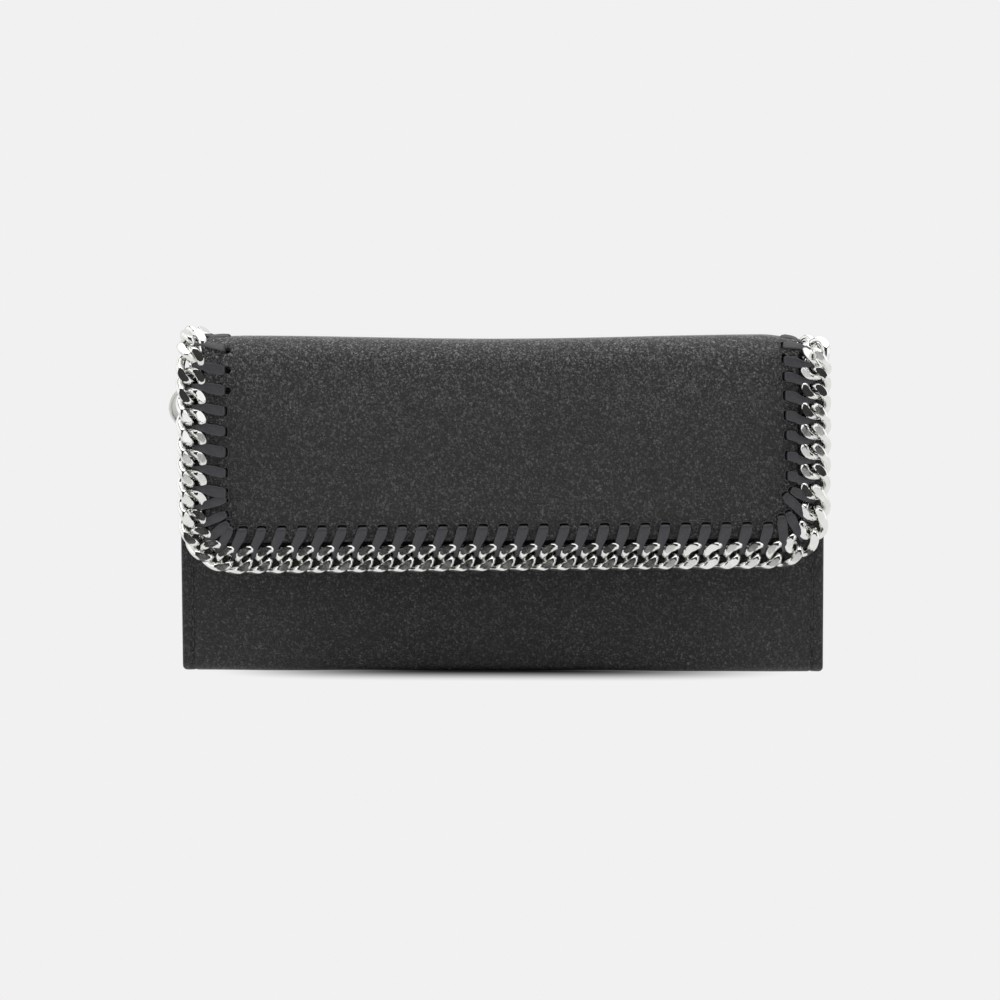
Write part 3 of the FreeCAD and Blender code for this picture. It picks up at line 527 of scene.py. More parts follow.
def sheet(
    name, path, outer, inner, half_width, material, free_start=False, free_end=False,
    step=1.4, edge=1.0, swell=0.0, dimples=(), sharp=35.0, s_offset=0.0, bend=False, groove=0.0, dip=False,
):
    """A closed leather sheet along a path in (y, z), from the offset outer to the offset inner.

    The columns in the last SIDE_BAND keep their distance from the nearer edge where the sheet narrows.
    """
    path = refined(path, free_start, free_end)
    seg = np.linalg.norm(np.diff(path, axis=0), axis=1)
    run = np.concatenate([[0], np.cumsum(seg)])
    tangent = np.gradient(path, run, axis=0)
    tangent /= np.linalg.norm(tangent, axis=1)[:, None]
    normal = np.stack([tangent[:, 1], -tangent[:, 0]], 1)
    widths = np.array([half_width(y, z, s) for (y, z), s in zip(path, run)])
    widest = widths.max()
    near = edge_steps(widest / 2)
    if groove:
        near += [groove + d for d in (-0.5, -0.3, -0.1, 0.1, 0.3, 0.5, 1.0)]
    middle_count = max(4, int(2 * (widest - near[-1]) / step))
    left = [-widest + d for d in near[:-1]]
    middle = list(np.linspace(-widest + near[-1], widest - near[-1], middle_count))
    across = np.array(left + middle + [-x for x in reversed(left)])
    rows, cols = len(path), len(across)
    x = np.empty((rows, cols))
    for i in range(rows):
        shrink = widest - widths[i]
        x[i] = np.where(
            np.abs(across) > widest - SIDE_BAND,
            np.sign(across) * (np.abs(across) - shrink),
            across * (widths[i] - SIDE_BAND) / (widest - SIDE_BAND),
        )
    from_side = widths[:, None] - np.abs(x)
    factor = rounded(np.maximum(from_side, 0), edge)
    if free_start:
        factor = factor * rounded(run, edge)[:, None]
    if free_end:
        factor = factor * rounded(run[-1] - run, edge)[:, None]
    mid, half = (outer + inner) / 2, (outer - inner) / 2
    wave = np.zeros((rows, cols))
    if swell:
        u, s = x / 31.0, (run[:, None] + s_offset) / 23.0
        wave = swell * (
            np.sin(u * 1.3 + 0.7) * np.cos(s * 1.7 + 0.4)
            + 0.6 * np.sin(u * 2.9 + s * 1.9 + 1.1)
            + 0.35 * np.sin(u * 5.3 - s * 3.1 + 2.0)
        )
        wave *= np.clip(from_side / CALM, 0, 1)
        if not free_start:
            wave *= np.clip(run / CALM, 0, 1)[:, None]
        if not free_end:
            wave *= np.clip((run[-1] - run) / CALM, 0, 1)[:, None]
    sides = []
    for sign in (1, -1):
        offset = mid + sign * half * factor + wave
        points = np.empty((rows, cols, 3))
        points[..., 0] = x
        points[..., 1] = path[:, 0, None] + normal[:, 0, None] * offset
        points[..., 2] = path[:, 1, None] + normal[:, 1, None] * offset
        if groove and sign > 0:
            dent = 0.3 * np.exp(-(((from_side - groove) / 0.38) ** 2))
            points[..., 1] -= normal[:, 0, None] * dent
            points[..., 2] -= normal[:, 1, None] * dent
        for spot, reach, depth in dimples:
            gap = np.linalg.norm(points - spot, axis=2)
            dent = depth * np.exp(-((gap / reach) ** 2))
            points[..., 1] -= normal[:, 0, None] * dent
            points[..., 2] -= normal[:, 1, None] * dent
        sides.append(points)
    uv = np.stack([x, np.broadcast_to(run[:, None] + s_offset, x.shape)], 2).reshape(-1, 2)
    verts = np.concatenate([sides[0].reshape(-1, 3), sides[1].reshape(-1, 3)])
    verts = sway(verts) if bend else verts
    if dip:
        verts = settled(verts)
    faces = grid_faces(rows, cols)
    below = grid_faces(rows, cols, flip=True)
    size = rows * cols
    faces += [tuple(size + i for i in f) for f in below]
    rim = []
    for j in range(cols - 1):
        rim.append((j + 1, j, size + j, size + j + 1))
        a = (rows - 1) * cols + j
        rim.append((a, a + 1, size + a + 1, size + a))
    for i in range(rows - 1):
        a, b = i * cols, (i + 1) * cols
        rim.append((a, b, size + b, size + a))
        a, b = a + cols - 1, b + cols - 1
        rim.append((b, a, size + a, size + b))
    faces += rim
    obj = mesh_object(name, verts, faces, material, np.concatenate([uv, uv]), sharp)
    weld(obj)
    return obj


def weld(obj, distance=2e-6):
    bm = bmesh.new()
    bm.from_mesh(obj.data)
    bmesh.ops.remove_doubles(bm, verts=bm.verts, dist=distance)
    bmesh.ops.dissolve_degenerate(bm, dist=1e-7, edges=bm.edges)
    bmesh.ops.recalc_face_normals(bm, faces=bm.faces)
    bm.to_mesh(obj.data)
    bm.free()
    obj.data.set_sharp_from_angle(angle=math.radians(35))


def punch(obj, stations, bend=False):
    """Cuts the lace holes through a sheet."""
    build = Build()
    for spot in stations:
        outline = hole_outline(spot)
        count = len(outline)
        verts = [point + spot["out"] * depth for depth in (-4.0, 4.0) for point in outline]
        faces = [tuple(range(count))[::-1], tuple(range(count, 2 * count))]
        faces += [(i, (i + 1) % count, count + (i + 1) % count, count + i) for i in range(count)]
        build.add(verts, faces)
    cutter = build.make(obj.name + "_cutter", MATERIAL["lace"], with_uv=False, bend=bend)
    cut_away(obj, cutter)


def cut_away(obj, cutter):
    weld(cutter, 1e-7)
    change = obj.modifiers.new("holes", "BOOLEAN")
    change.operation, change.solver, change.object = "DIFFERENCE", "MANIFOLD", cutter
    bpy.context.view_layer.update()
    graph = bpy.context.evaluated_depsgraph_get()
    mesh = bpy.data.meshes.new_from_object(obj.evaluated_get(graph))
    done = len(mesh.vertices) != len(obj.data.vertices) and len(mesh.vertices) > 0
    obj.modifiers.clear()
    bpy.data.objects.remove(cutter)
    if not done:
        print("nothing was cut from", obj.name)
        return
    obj.data = mesh
    obj.data.set_sharp_from_angle(angle=math.radians(35))


# ---- materials ----

FOLD_GLINT_REACH = 40.0         # the painted highlight near the fold fades out this many millimetres from the middle of the fold


def new_material(name):
    mat = bpy.data.materials.new(name)
    mat.use_nodes = True
    tree = mat.node_tree
    return mat, tree, tree.nodes["Principled BSDF"]


def node(tree, kind, **values):
    made = tree.nodes.new(kind)
    for key, value in values.items():
        if key in made.inputs:
            made.inputs[key].default_value = value
        else:
            setattr(made, key, value)
    return made


def texture(tree, where, kind, **values):
    made = node(tree, kind, **values)
    tree.links.new(where, made.inputs["Vector"])
    return made


def noise(tree, where, **values):
    return texture(tree, where, "ShaderNodeTexNoise", **values)


def bands(tree, where, direction, **values):
    return texture(tree, where, "ShaderNodeTexWave", wave_type="BANDS", bands_direction=direction, **values)


def coordinates(tree, use_uv):
    """Texture coordinates in millimetres: the sheet's own, or the object's."""
    if use_uv:
        source = node(tree, "ShaderNodeUVMap", uv_map="grain").outputs["UV"]
        factor = 1.0
    else:
        source = node(tree, "ShaderNodeTexCoord").outputs["Object"]
        factor = 1000.0
    mapping = node(tree, "ShaderNodeMapping")
    mapping.inputs["Scale"].default_value = (factor, factor, factor)
    tree.links.new(source, mapping.inputs["Vector"])
    return mapping.outputs["Vector"]


def ramp(tree, source, stops):
    made = node(tree, "ShaderNodeValToRGB")
    elements = made.color_ramp.elements
    while len(elements) < len(stops):
        elements.new(0.5)
    for element, (position, colour) in zip(elements, stops):
        element.position = position
        value = colour if isinstance(colour, tuple) else (colour, colour, colour)
        element.color = (*value, 1)
    tree.links.new(source, made.inputs["Fac"])
    return made.outputs["Color"]


def mix(tree, kind, fac, a, b):
    made = node(tree, "ShaderNodeMix", data_type="RGBA", blend_type=kind)
    for socket, value in ((made.inputs[0], fac), (made.inputs[6], a), (made.inputs[7], b)):
        if hasattr(value, "links"):
            tree.links.new(value, socket)
        else:
            socket.default_value = value
    return made.outputs[2]


def bump(tree, bsdf, height, strength, distance):
    made = node(tree, "ShaderNodeBump")
    made.inputs["Strength"].default_value = strength
    made.inputs["Distance"].default_value = distance
    tree.links.new(height, made.inputs["Height"])
    tree.links.new(made.outputs["Normal"], bsdf.inputs["Normal"])


def arithmetic(tree, operation, first, second):
    step = node(tree, "ShaderNodeMath", operation=operation)
    for socket, value in zip(step.inputs, (first, second)):
        if isinstance(value, (int, float)):
            socket.default_value = value
        else:
            tree.links.new(value, socket)
    return step.outputs[0]


def smooth_range(tree, value, low, high):
    step = node(tree, "ShaderNodeMapRange", interpolation_type="SMOOTHSTEP")
    step.inputs["From Min"].default_value, step.inputs["From Max"].default_value = low, high
    tree.links.new(value, step.inputs["Value"])
    return step.outputs["Result"]


def grained_leather(name, level):
    """Black hide with a fine pebble grain, with painted shade in its creases and painted glints on its
    crests, more of them near the middle of the fold.
    """
    mat, tree, bsdf = new_material(name)
    link = tree.links.new
    where = coordinates(tree, True)
    warp = noise(tree, where, Scale=0.9, Detail=3.0)
    warped = node(tree, "ShaderNodeVectorMath", operation="MULTIPLY_ADD")
    link(warp.outputs["Color"], warped.inputs[0])
    warped.inputs[1].default_value = (1.1, 1.1, 1.1)
    link(where, warped.inputs[2])
    cells = "ShaderNodeTexVoronoi"
    pebble = texture(tree, warped.outputs[0], cells, feature="F1", Scale=1.5, Randomness=1.0)
    crease = texture(tree, warped.outputs[0], cells, feature="DISTANCE_TO_EDGE", Scale=1.5)
    fine = noise(tree, where, Scale=3.2, Detail=4.0, Roughness=0.6)
    broad = noise(tree, where, Scale=0.05, Detail=3.0)
    crest = ramp(tree, crease.outputs["Distance"], [(0.0, 0.0), (0.2, 1.0)])
    height = mix(tree, "MULTIPLY", 0.55, crest, fine.outputs["Color"])
    # painted shade: the colour follows the bump's height, darkest in the creases between the pebbles and
    # lighter on their crests
    greys = ((0.05, (0.006, 0.006, 0.006)), (0.6, (0.020, 0.020, 0.022)), (1.0, (0.05, 0.05, 0.054)))
    tone = ramp(tree, height, [(at, tuple(level * c for c in grey)) for at, grey in greys])
    # painted glints: some pebbles get lighter crests in the colour
    glint = ramp(tree, pebble.outputs["Color"], [(0.45, 0.0), (0.95, 0.2 * level)])
    tone = mix(tree, "ADD", 0.6, tone, mix(tree, "MULTIPLY", 1.0, glint, crest))
    spark = texture(tree, warped.outputs[0], cells, feature="F1", Scale=2.6, Randomness=1.0)
    # painted sparkle: fine random specks of highlight added to the colour
    painted_specks = ramp(tree, spark.outputs["Color"], [(0.72, 0.0), (0.95, 0.14 * level)])
    tone = mix(tree, "ADD", 0.8, tone, painted_specks)
    # painted highlight: more glints are added to the colour near the middle of the fold, fading with distance
    # from it
    apart = node(tree, "ShaderNodeSeparateXYZ")
    link(where, apart.inputs[0])
    away = arithmetic(tree, "ABSOLUTE", apart.outputs["Y"], 0.0)
    share = arithmetic(tree, "MULTIPLY", away, 1 / FOLD_GLINT_REACH)
    fold_glint_mask = ramp(tree, share, [(0.15, 1.0), (0.42, 0.45), (0.9, 0.0)])
    painted_fold_glints = ramp(tree, spark.outputs["Color"], [(0.55, 0.0), (0.9, 0.42 * level)])
    tone = mix(tree, "ADD", 0.8, tone, mix(tree, "MULTIPLY", 1.0, painted_fold_glints, fold_glint_mask))
    shade = ramp(tree, broad.outputs["Fac"], [(0.3, 0.86), (0.7, 1.1)])
    link(mix(tree, "MULTIPLY", 1.0, tone, shade), bsdf.inputs["Base Color"])
    rough = ramp(tree, fine.outputs["Fac"], [(0.3, 0.22), (0.7, 0.45)])
    link(rough, bsdf.inputs["Roughness"])
    bsdf.inputs["Specular IOR Level"].default_value = 0.5
    bsdf.inputs["Sheen Weight"].default_value = 0.08
    bsdf.inputs["Sheen Roughness"].default_value = 0.35
    bump(tree, bsdf, height, 1.0, 0.00035)
    return mat


def smooth_leather(name, colour, light, roughness, use_uv=True, grain=2.2, strength=0.35):
    """Smooth finished leather with fine pores and lighter streaks of wear."""
    mat, tree, bsdf = new_material(name)
    link = tree.links.new
    where = coordinates(tree, use_uv)
    pores = noise(tree, where, Scale=grain, Detail=5.0, Roughness=0.62)
    cells = texture(tree, where, "ShaderNodeTexVoronoi", feature="DISTANCE_TO_EDGE", Scale=grain * 1.3)
    wear = noise(tree, where, Scale=0.35, Detail=3.0)
    tone = ramp(tree, wear.outputs["Fac"], [(0.35, colour), (0.72, light)])
    fleck = ramp(tree, pores.outputs["Fac"], [(0.3, 0.75), (0.75, 1.25)])
    link(mix(tree, "MULTIPLY", 1.0, tone, fleck), bsdf.inputs["Base Color"])
    rough = ramp(tree, pores.outputs["Fac"], [(0.3, roughness - 0.08), (0.7, roughness + 0.12)])
    link(rough, bsdf.inputs["Roughness"])
    bsdf.inputs["Specular IOR Level"].default_value = 0.5
    creases = ramp(tree, cells.outputs["Distance"], [(0.0, 0.4), (0.15, 1.0)])
    height = mix(tree, "MULTIPLY", 0.5, pores.outputs["Color"], creases)
    bump(tree, bsdf, height, strength, 0.00008)
    return mat


def metal(name, colour, low, high, scratches, strength=0.12):
    """Polished plate with fine scratches and cloudy wear."""
    mat, tree, bsdf = new_material(name)
    link = tree.links.new
    where = coordinates(tree, False)
    cloud = noise(tree, where, Scale=0.45, Detail=5.0, Roughness=0.6)
    stretch = node(tree, "ShaderNodeMapping")
    stretch.inputs["Scale"].default_value = (0.25, 3.0, 3.0)
    stretch.inputs["Rotation"].default_value = (0.3, 0.9, 0.6)
    link(where, stretch.inputs["Vector"])
    lines = noise(tree, stretch.outputs["Vector"], Scale=scratches, Detail=3.0, Roughness=0.7)
    link(ramp(tree, cloud.outputs["Fac"], [(0.3, low), (0.75, high)]), bsdf.inputs["Roughness"])
    dull = tuple(c * 0.86 for c in colour)
    link(ramp(tree, cloud.outputs["Fac"], [(0.25, dull), (0.65, colour)]), bsdf.inputs["Base Color"])
    bsdf.inputs["Metallic"].default_value = 1.0
    bump(tree, bsdf, lines.outputs["Fac"], strength, 0.00003)
    return mat


def cloth(name, colour, light, scale):
    """Woven tape: two crossed waves make the weave."""
    mat, tree, bsdf = new_material(name)
    link = tree.links.new
    where = coordinates(tree, False)
    warp = bands(tree, where, "X", Scale=scale, Distortion=0.6)
    weft = bands(tree, where, "Z", Scale=scale, Distortion=0.6)
    fuzz = noise(tree, where, Scale=0.8, Detail=4.0)
    weave = mix(tree, "MULTIPLY", 1.0, warp.outputs["Color"], weft.outputs["Color"])
    tone = ramp(tree, weave, [(0.0, colour), (1.0, light)])
    link(mix(tree, "MULTIPLY", 0.5, tone, fuzz.outputs["Color"]), bsdf.inputs["Base Color"])
    link(ramp(tree, fuzz.outputs["Fac"], [(0.3, 0.7), (0.7, 0.9)]), bsdf.inputs["Roughness"])
    bump(tree, bsdf, weave, 0.5, 0.0001)
    return mat


def thread_material():
    mat, tree, bsdf = new_material("thread")
    link = tree.links.new
    where = coordinates(tree, False)
    twist = bands(tree, where, "DIAGONAL", Scale=3.0, Distortion=0.5)
    fuzz = noise(tree, where, Scale=6.0, Detail=3.0)
    tone = ramp(tree, fuzz.outputs["Fac"], [(0.3, (0.03, 0.03, 0.032)), (0.7, (0.07, 0.07, 0.074))])
    link(tone, bsdf.inputs["Base Color"])
    link(ramp(tree, fuzz.outputs["Fac"], [(0.3, 0.5), (0.7, 0.75)]), bsdf.inputs["Roughness"])
    bump(tree, bsdf, twist.outputs["Fac"], 0.6, 0.0001)
    return mat


MATERIAL = {
    "hide": grained_leather("grained_leather", 0.82),
    # painted shade: the front wall gets a darker copy of the same hide (level 0.6 against 0.82), standing in
    # for the shade under the flap
    "front": grained_leather("front_leather", 0.6),
    "lace": smooth_leather("lace_leather", (0.044, 0.044, 0.050), (0.074, 0.074, 0.082), 0.42),
    "lining": smooth_leather("lining_leather", (0.022, 0.022, 0.024), (0.034, 0.034, 0.037), 0.5),
    "card": smooth_leather("card_leather", (0.024, 0.024, 0.026), (0.036, 0.036, 0.039), 0.48, use_uv=False),
    "chain": metal("chain_metal", (0.88, 0.88, 0.86), 0.05, 0.13, 2.5, 0.06),
    "charm": metal("charm_metal", (0.84, 0.85, 0.81), 0.24, 0.36, 5.0, 0.2),
    "zip": metal("zip_metal", (0.72, 0.72, 0.71), 0.2, 0.34, 3.0),
    "snap": metal("snap_metal", (0.74, 0.74, 0.72), 0.22, 0.36, 3.0),
    "tape": cloth("zip_tape", (0.008, 0.008, 0.009), (0.035, 0.035, 0.038), 2.4),
    "bag": cloth("pocket_lining", (0.012, 0.012, 0.013), (0.04, 0.04, 0.043), 1.6),
    "thread": thread_material(),
    "rim": smooth_leather("rim_leather", (0.03, 0.03, 0.033), (0.055, 0.056, 0.06), 0.28),
}


# ---- leather of the back, spine and flap ----

REAR = (FOLD_CY, FOLD_CZ)
FORE = (-FOLD_CY, FOLD_CZ)
HALF_FLAP = CHAIN_X - EDGE
FLAP_LOW = CHAIN_Z + EDGE
FLAP_BEND = CHAIN_BEND - EDGE
NOTCH_LOW = 80.6


def back_width(y, z, s):
    """Full width up to the notches, where the chain ends; rounded at the base corners."""
    if z < 3.0 and y < BACK_Y - 0.5:
        return HALF_BODY - 0.4
    step = np.clip((z - (NOTCH_LOW - 0.9)) / 1.8, 0, 1)
    return HALF_BODY - (HALF_BODY - HALF_FLAP) * step * step * (3 - 2 * step)


def flap_width(y, z, s):
    rise = z - FLAP_LOW
    if rise >= FLAP_BEND:
        return HALF_FLAP
    return HALF_FLAP - FLAP_BEND + math.sqrt(max(FLAP_BEND**2 - (FLAP_BEND - rise) ** 2, 0))


def flap_rows():
    """Rows of the flap from the fold down, closer together round the lower corners."""
    falls = line((-BACK_Y, FOLD_CZ), (-BACK_Y, FLAP_LOW + FLAP_BEND), 1.5)
    turn = np.radians(np.linspace(0, 90, 16))
    corner = [(-BACK_Y, FLAP_LOW + FLAP_BEND * (1 - math.sin(a))) for a in turn]
    return falls, corner


def flat_width(y, z, s):
    return HALF_FLAP


def dimple_list(*bodies):
    found = []
    for body in bodies:
        for spot in STATIONS[body]:
            found.append((place(spot, spot["lean"], spot["inset"] + 0.4, WALL / 2), 1.6, 0.24))
            found.append((place(spot, 0, EDGE + 1.5, WALL / 2), 1.7, 0.16))
    return found


def outer_shell():
    base_start = (-4.2, 0.0)
    falls, corner = flap_rows()
    back_path = joined(
        line(base_start, (BACK_Y - 3.0, 0.0), 2.0),
        arc(BACK_Y - 3.0, 3.0, 3.0, -90, 0, 0.6),
        line((BACK_Y, 3.0), (BACK_Y, NOTCH_LOW - 1.5), 2.0),
        line((BACK_Y, NOTCH_LOW - 1.5), (BACK_Y, NOTCH_LOW + 1.5), 0.3),
        line((BACK_Y, NOTCH_LOW + 1.5), (BACK_Y, FOLD_CZ), 1.5),
        arc(*REAR, FOLD_R, 0, 45, 0.55),
    )
    spine_rear = joined(arc(*REAR, FOLD_R, 45, 90, 0.55), line((FOLD_CY, TOP), (0, TOP), 0.8))
    spine_fore = joined(line((0, TOP), (-FOLD_CY, TOP), 0.8), arc(*FORE, FOLD_R, 90, 135, 0.55))
    flap_path = joined(arc(*FORE, FOLD_R, 135, 180, 0.55), falls, corner)
    jobs = [
        ("back", back_path, back_width, ("shell", "rear_fold"), (REAR, 3, 42), True, False,
         ["back_leather", "back_board", "base_leather"], ["back_lining", "base_lining"]),
        ("fold_rear", spine_rear, flat_width, ("rear_fold", "spine"), (REAR, 48, 87), False, False,
         ["rear_fold_leather"], ["rear_fold_lining"]),
        ("fold_front", spine_fore, flat_width, ("spine", "front_fold"), (FORE, 93, 132), False, False,
         ["spine_leather", "spine_board"], ["spine_lining"]),
        ("flap", flap_path, flap_width, ("front_fold", "flap"), (FORE, 138, 177), False, True,
         ["flap_leather", "flap_board", "front_fold_leather"], ["flap_lining", "front_fold_lining"]),
    ]
    # the grain is measured from the middle of the fold, where the painted highlight on the hide is brightest
    s_offset = -sum(path_length(job[1]) for job in jobs[:2])
    for word, path, width, bodies, (centre, first, last), free_start, free_end, hides, linings in jobs:
        dimples = dimple_list(*bodies)
        bend = word == "flap"
        skin = sheet(
            f"{word}_skin", path, 0.0, -LEATHER, width, MATERIAL["hide"],
            free_start, free_end, 1.4, 0.8, 0.10 if word in ("back", "flap") else 0.0, dimples,
            s_offset=s_offset, bend=bend, dip=True,
        )
        spots = sum((STATIONS[b] for b in bodies), [])
        punch(skin, spots, bend)
        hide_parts(*hides)
        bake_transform(skin)
        inner = sheet(
            f"{word}_inner", path, -LEATHER, -WALL, lambda y, z, s, w=width: w(y, z, s) - 0.3,
            MATERIAL["lining"], free_start, free_end, 2.4, 0.4,
            s_offset=s_offset, bend=bend, dip=True,
        )
        punch(inner, spots, bend)
        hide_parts(*linings)
        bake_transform(inner)
        s_offset += path_length(path)


# ---- front wall ----


def front_width(y, z, s):
    low = 0.9
    high = 3.0
    if z < low:
        return HALF_BODY - low + math.sqrt(max(low * low - (low - z) ** 2, 0))
    if z > FRONT_TOP - high:
        return HALF_BODY - high + math.sqrt(max(high * high - (z - FRONT_TOP + high) ** 2, 0))
    return HALF_BODY


def front_wall():
    path = joined(
        [(-4.6, 0.0)],
        arc(FRONT_Y + 2.4, 2.4, 2.4, 270, 180, 0.35),
        line((FRONT_Y, 2.4), (FRONT_Y, 6.0), 0.5),
        line((FRONT_Y, 6.0), (FRONT_Y, FRONT_TOP - 3.0), 1.5),
        [(FRONT_Y, FRONT_TOP - 3.0 + 3.0 * math.sin(a)) for a in np.radians(np.linspace(0, 90, 10))],
    )[::-1]
    skin = sheet(
        "front_skin", path, 0.0, -FRONT_LEATHER, front_width, MATERIAL["front"],
        True, True, 1.6, 0.7, 0.12, s_offset=300, groove=FRONT_SEAM,
    )
    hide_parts("front_leather", "front_board")
    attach(skin, "front")
    inner = sheet(
        "front_inner", path[: len(path) - 14], -FRONT_LEATHER, -FRONT_WALL,
        lambda y, z, s: front_width(y, z, s) - 1.2, MATERIAL["lining"],
        True, True, 3.0, 0.3,
    )
    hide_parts("front_lining")
    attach(inner, "front")
    seams = []
    for side in (-1, 1):
        ends = [(side * (HALF_BODY - FRONT_SEAM), FRONT_Y + 0.18, z) for z in (86.0, 4.0)]
        seams.append((ends, v3(0, -1, 0)))
    stitches("front_stitches", "front", seams)


def stitches(name, body, seams, length=2.3, gap=0.9, radius=0.24):
    """Short sunk stitches along straight seams: each seam is two ends and the face normal."""
    build = Build()
    roll = np.linspace(0, 2 * np.pi, 8, endpoint=False)
    for ends, normal in seams:
        start, end = v3(*ends[0]), v3(*ends[1])
        total = np.linalg.norm(end - start)
        along = (end - start) / total
        across = np.cross(normal, along)
        count = int(total / (length + gap))
        for k in range(count):
            first = start + along * (k * (length + gap))
            verts = []
            for f in np.linspace(0, 1, 9):
                lift = math.sin(math.pi * f)
                width = radius * (0.35 + 0.65 * min(1, 3 * f, 3 * (1 - f)))
                middle = first + along * (f * length) + normal * (0.22 * lift - 0.12)
                for a in roll:
                    verts.append(middle + across * width * math.cos(a) * 1.2 + normal * width * math.sin(a))
            faces = grid_faces(9, len(roll), False, True)
            faces += [tuple(range(len(roll)))[::-1], tuple(8 * len(roll) + i for i in range(len(roll)))]
            build.add(verts, faces)
    obj = build.make(name, MATERIAL["thread"], sharp=60, with_uv=False)
    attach(obj, body)


# ---- inside ----


def gussets():
    """Thin folded side panels between the walls."""
    jobs = [
        ("rear", BACK_INNER, POCKET_REAR, "shell", "pocket",
         "rear_gusset_wall_leaf_", "rear_gusset_pocket_leaf_"),
        ("front", POCKET_FRONT, FRONT_LINING, "pocket", "front",
         "front_gusset_pocket_leaf_", "front_gusset_wall_leaf_"),
    ]
    for word, rear, fore, first, second, leaf_a, leaf_b in jobs:
        for side_word, side in (("left", -1), ("right", 1)):
            middle = (rear + fore) / 2
            ply = 0.5
            outline = [
                (93.5, rear - 0.05), (91.0, rear - 0.42 * (rear - middle)), (88.6, middle + 0.32),
                (88.0, middle),
                (88.6, middle - 0.32), (91.0, fore + 0.42 * (middle - fore)), (93.5, fore + 0.05),
            ]
            curve = open_curve(np.array(outline), 6)
            levels = np.concatenate([[1.8, 1.9, 2.1], np.linspace(4, 77, 26), [79.0, 79.7, 79.92, 80.0]])
            tangent = np.gradient(curve, axis=0)
            tangent /= np.linalg.norm(tangent, axis=1)[:, None]
            normal = np.stack([tangent[:, 1], -tangent[:, 0]], 1)
            build = Build()
            rows = []
            for z in levels:
                thin = rounded(min(z - 1.8, 80.0 - z) + 0.02, 0.3)
                ripple = 0.25 * math.sin(z / 9.0)
                ring = []
                for sign in (1, -1):
                    pts = curve + normal * (sign * ply / 2 * thin)
                    pts = pts if sign > 0 else pts[::-1]
                    for px, py in pts:
                        ring.append((side * (px + ripple * (93.5 - px) / 5.5), py, z))
                rows.append(ring)
            verts = np.array(rows).reshape(-1, 3)
            cols = len(rows[0])
            faces = grid_faces(len(levels), cols, False, True, flip=side > 0)
            low, high = list(range(cols)), [(len(levels) - 1) * cols + i for i in range(cols)]
            half = cols // 2
            for i in range(half - 1):
                faces.append((low[i], low[i + 1], low[cols - 2 - i], low[cols - 1 - i]))
                faces.append((high[i + 1], high[i], high[cols - 1 - i], high[cols - 2 - i]))
            uv = np.stack([verts[:, 1] * 2, verts[:, 2]], 1)
            build.add(verts, faces, uv)
            obj = build.make(f"{word}_gusset_{side_word}", MATERIAL["lining"], sharp=50)
            weld(obj, 1e-7)
            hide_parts(leaf_a + side_word, leaf_b + side_word)
            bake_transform(obj)


def open_curve(points, steps):
    """Catmull-Rom curve through an open run of points."""
    ends = np.concatenate([[2 * points[0] - points[1]], points, [2 * points[-1] - points[-2]]])
    out = []
    for i in range(1, len(ends) - 2):
        p0, p1, p2, p3 = ends[i - 1 : i + 3]
        for s in range(steps):
            f = s / steps
            out.append(between(p0, p1, p2, p3, f))
    out.append(ends[-2])
    return np.array(out)


def refinish(names, material, bevel):
    """Gives CAD pieces a finish and softened edges."""
    for name in names:
        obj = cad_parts[name]
        obj.data.materials.clear()
        obj.data.materials.append(material)
        if bevel:
            change = obj.modifiers.new("soft_edges", "BEVEL")
            change.width = bevel * MM
            change.segments = 2
            change.limit_method = "ANGLE"
            change.harden_normals = False


RING_R, RING_WIRE = 3.5, 0.5      # jump ring: radius, and half the thickness of its wire
DISC_R, EYE_R = 6.75, 1.05
DISC_TILT = 0.1                   # the foot of the disc hangs back by this share of its height


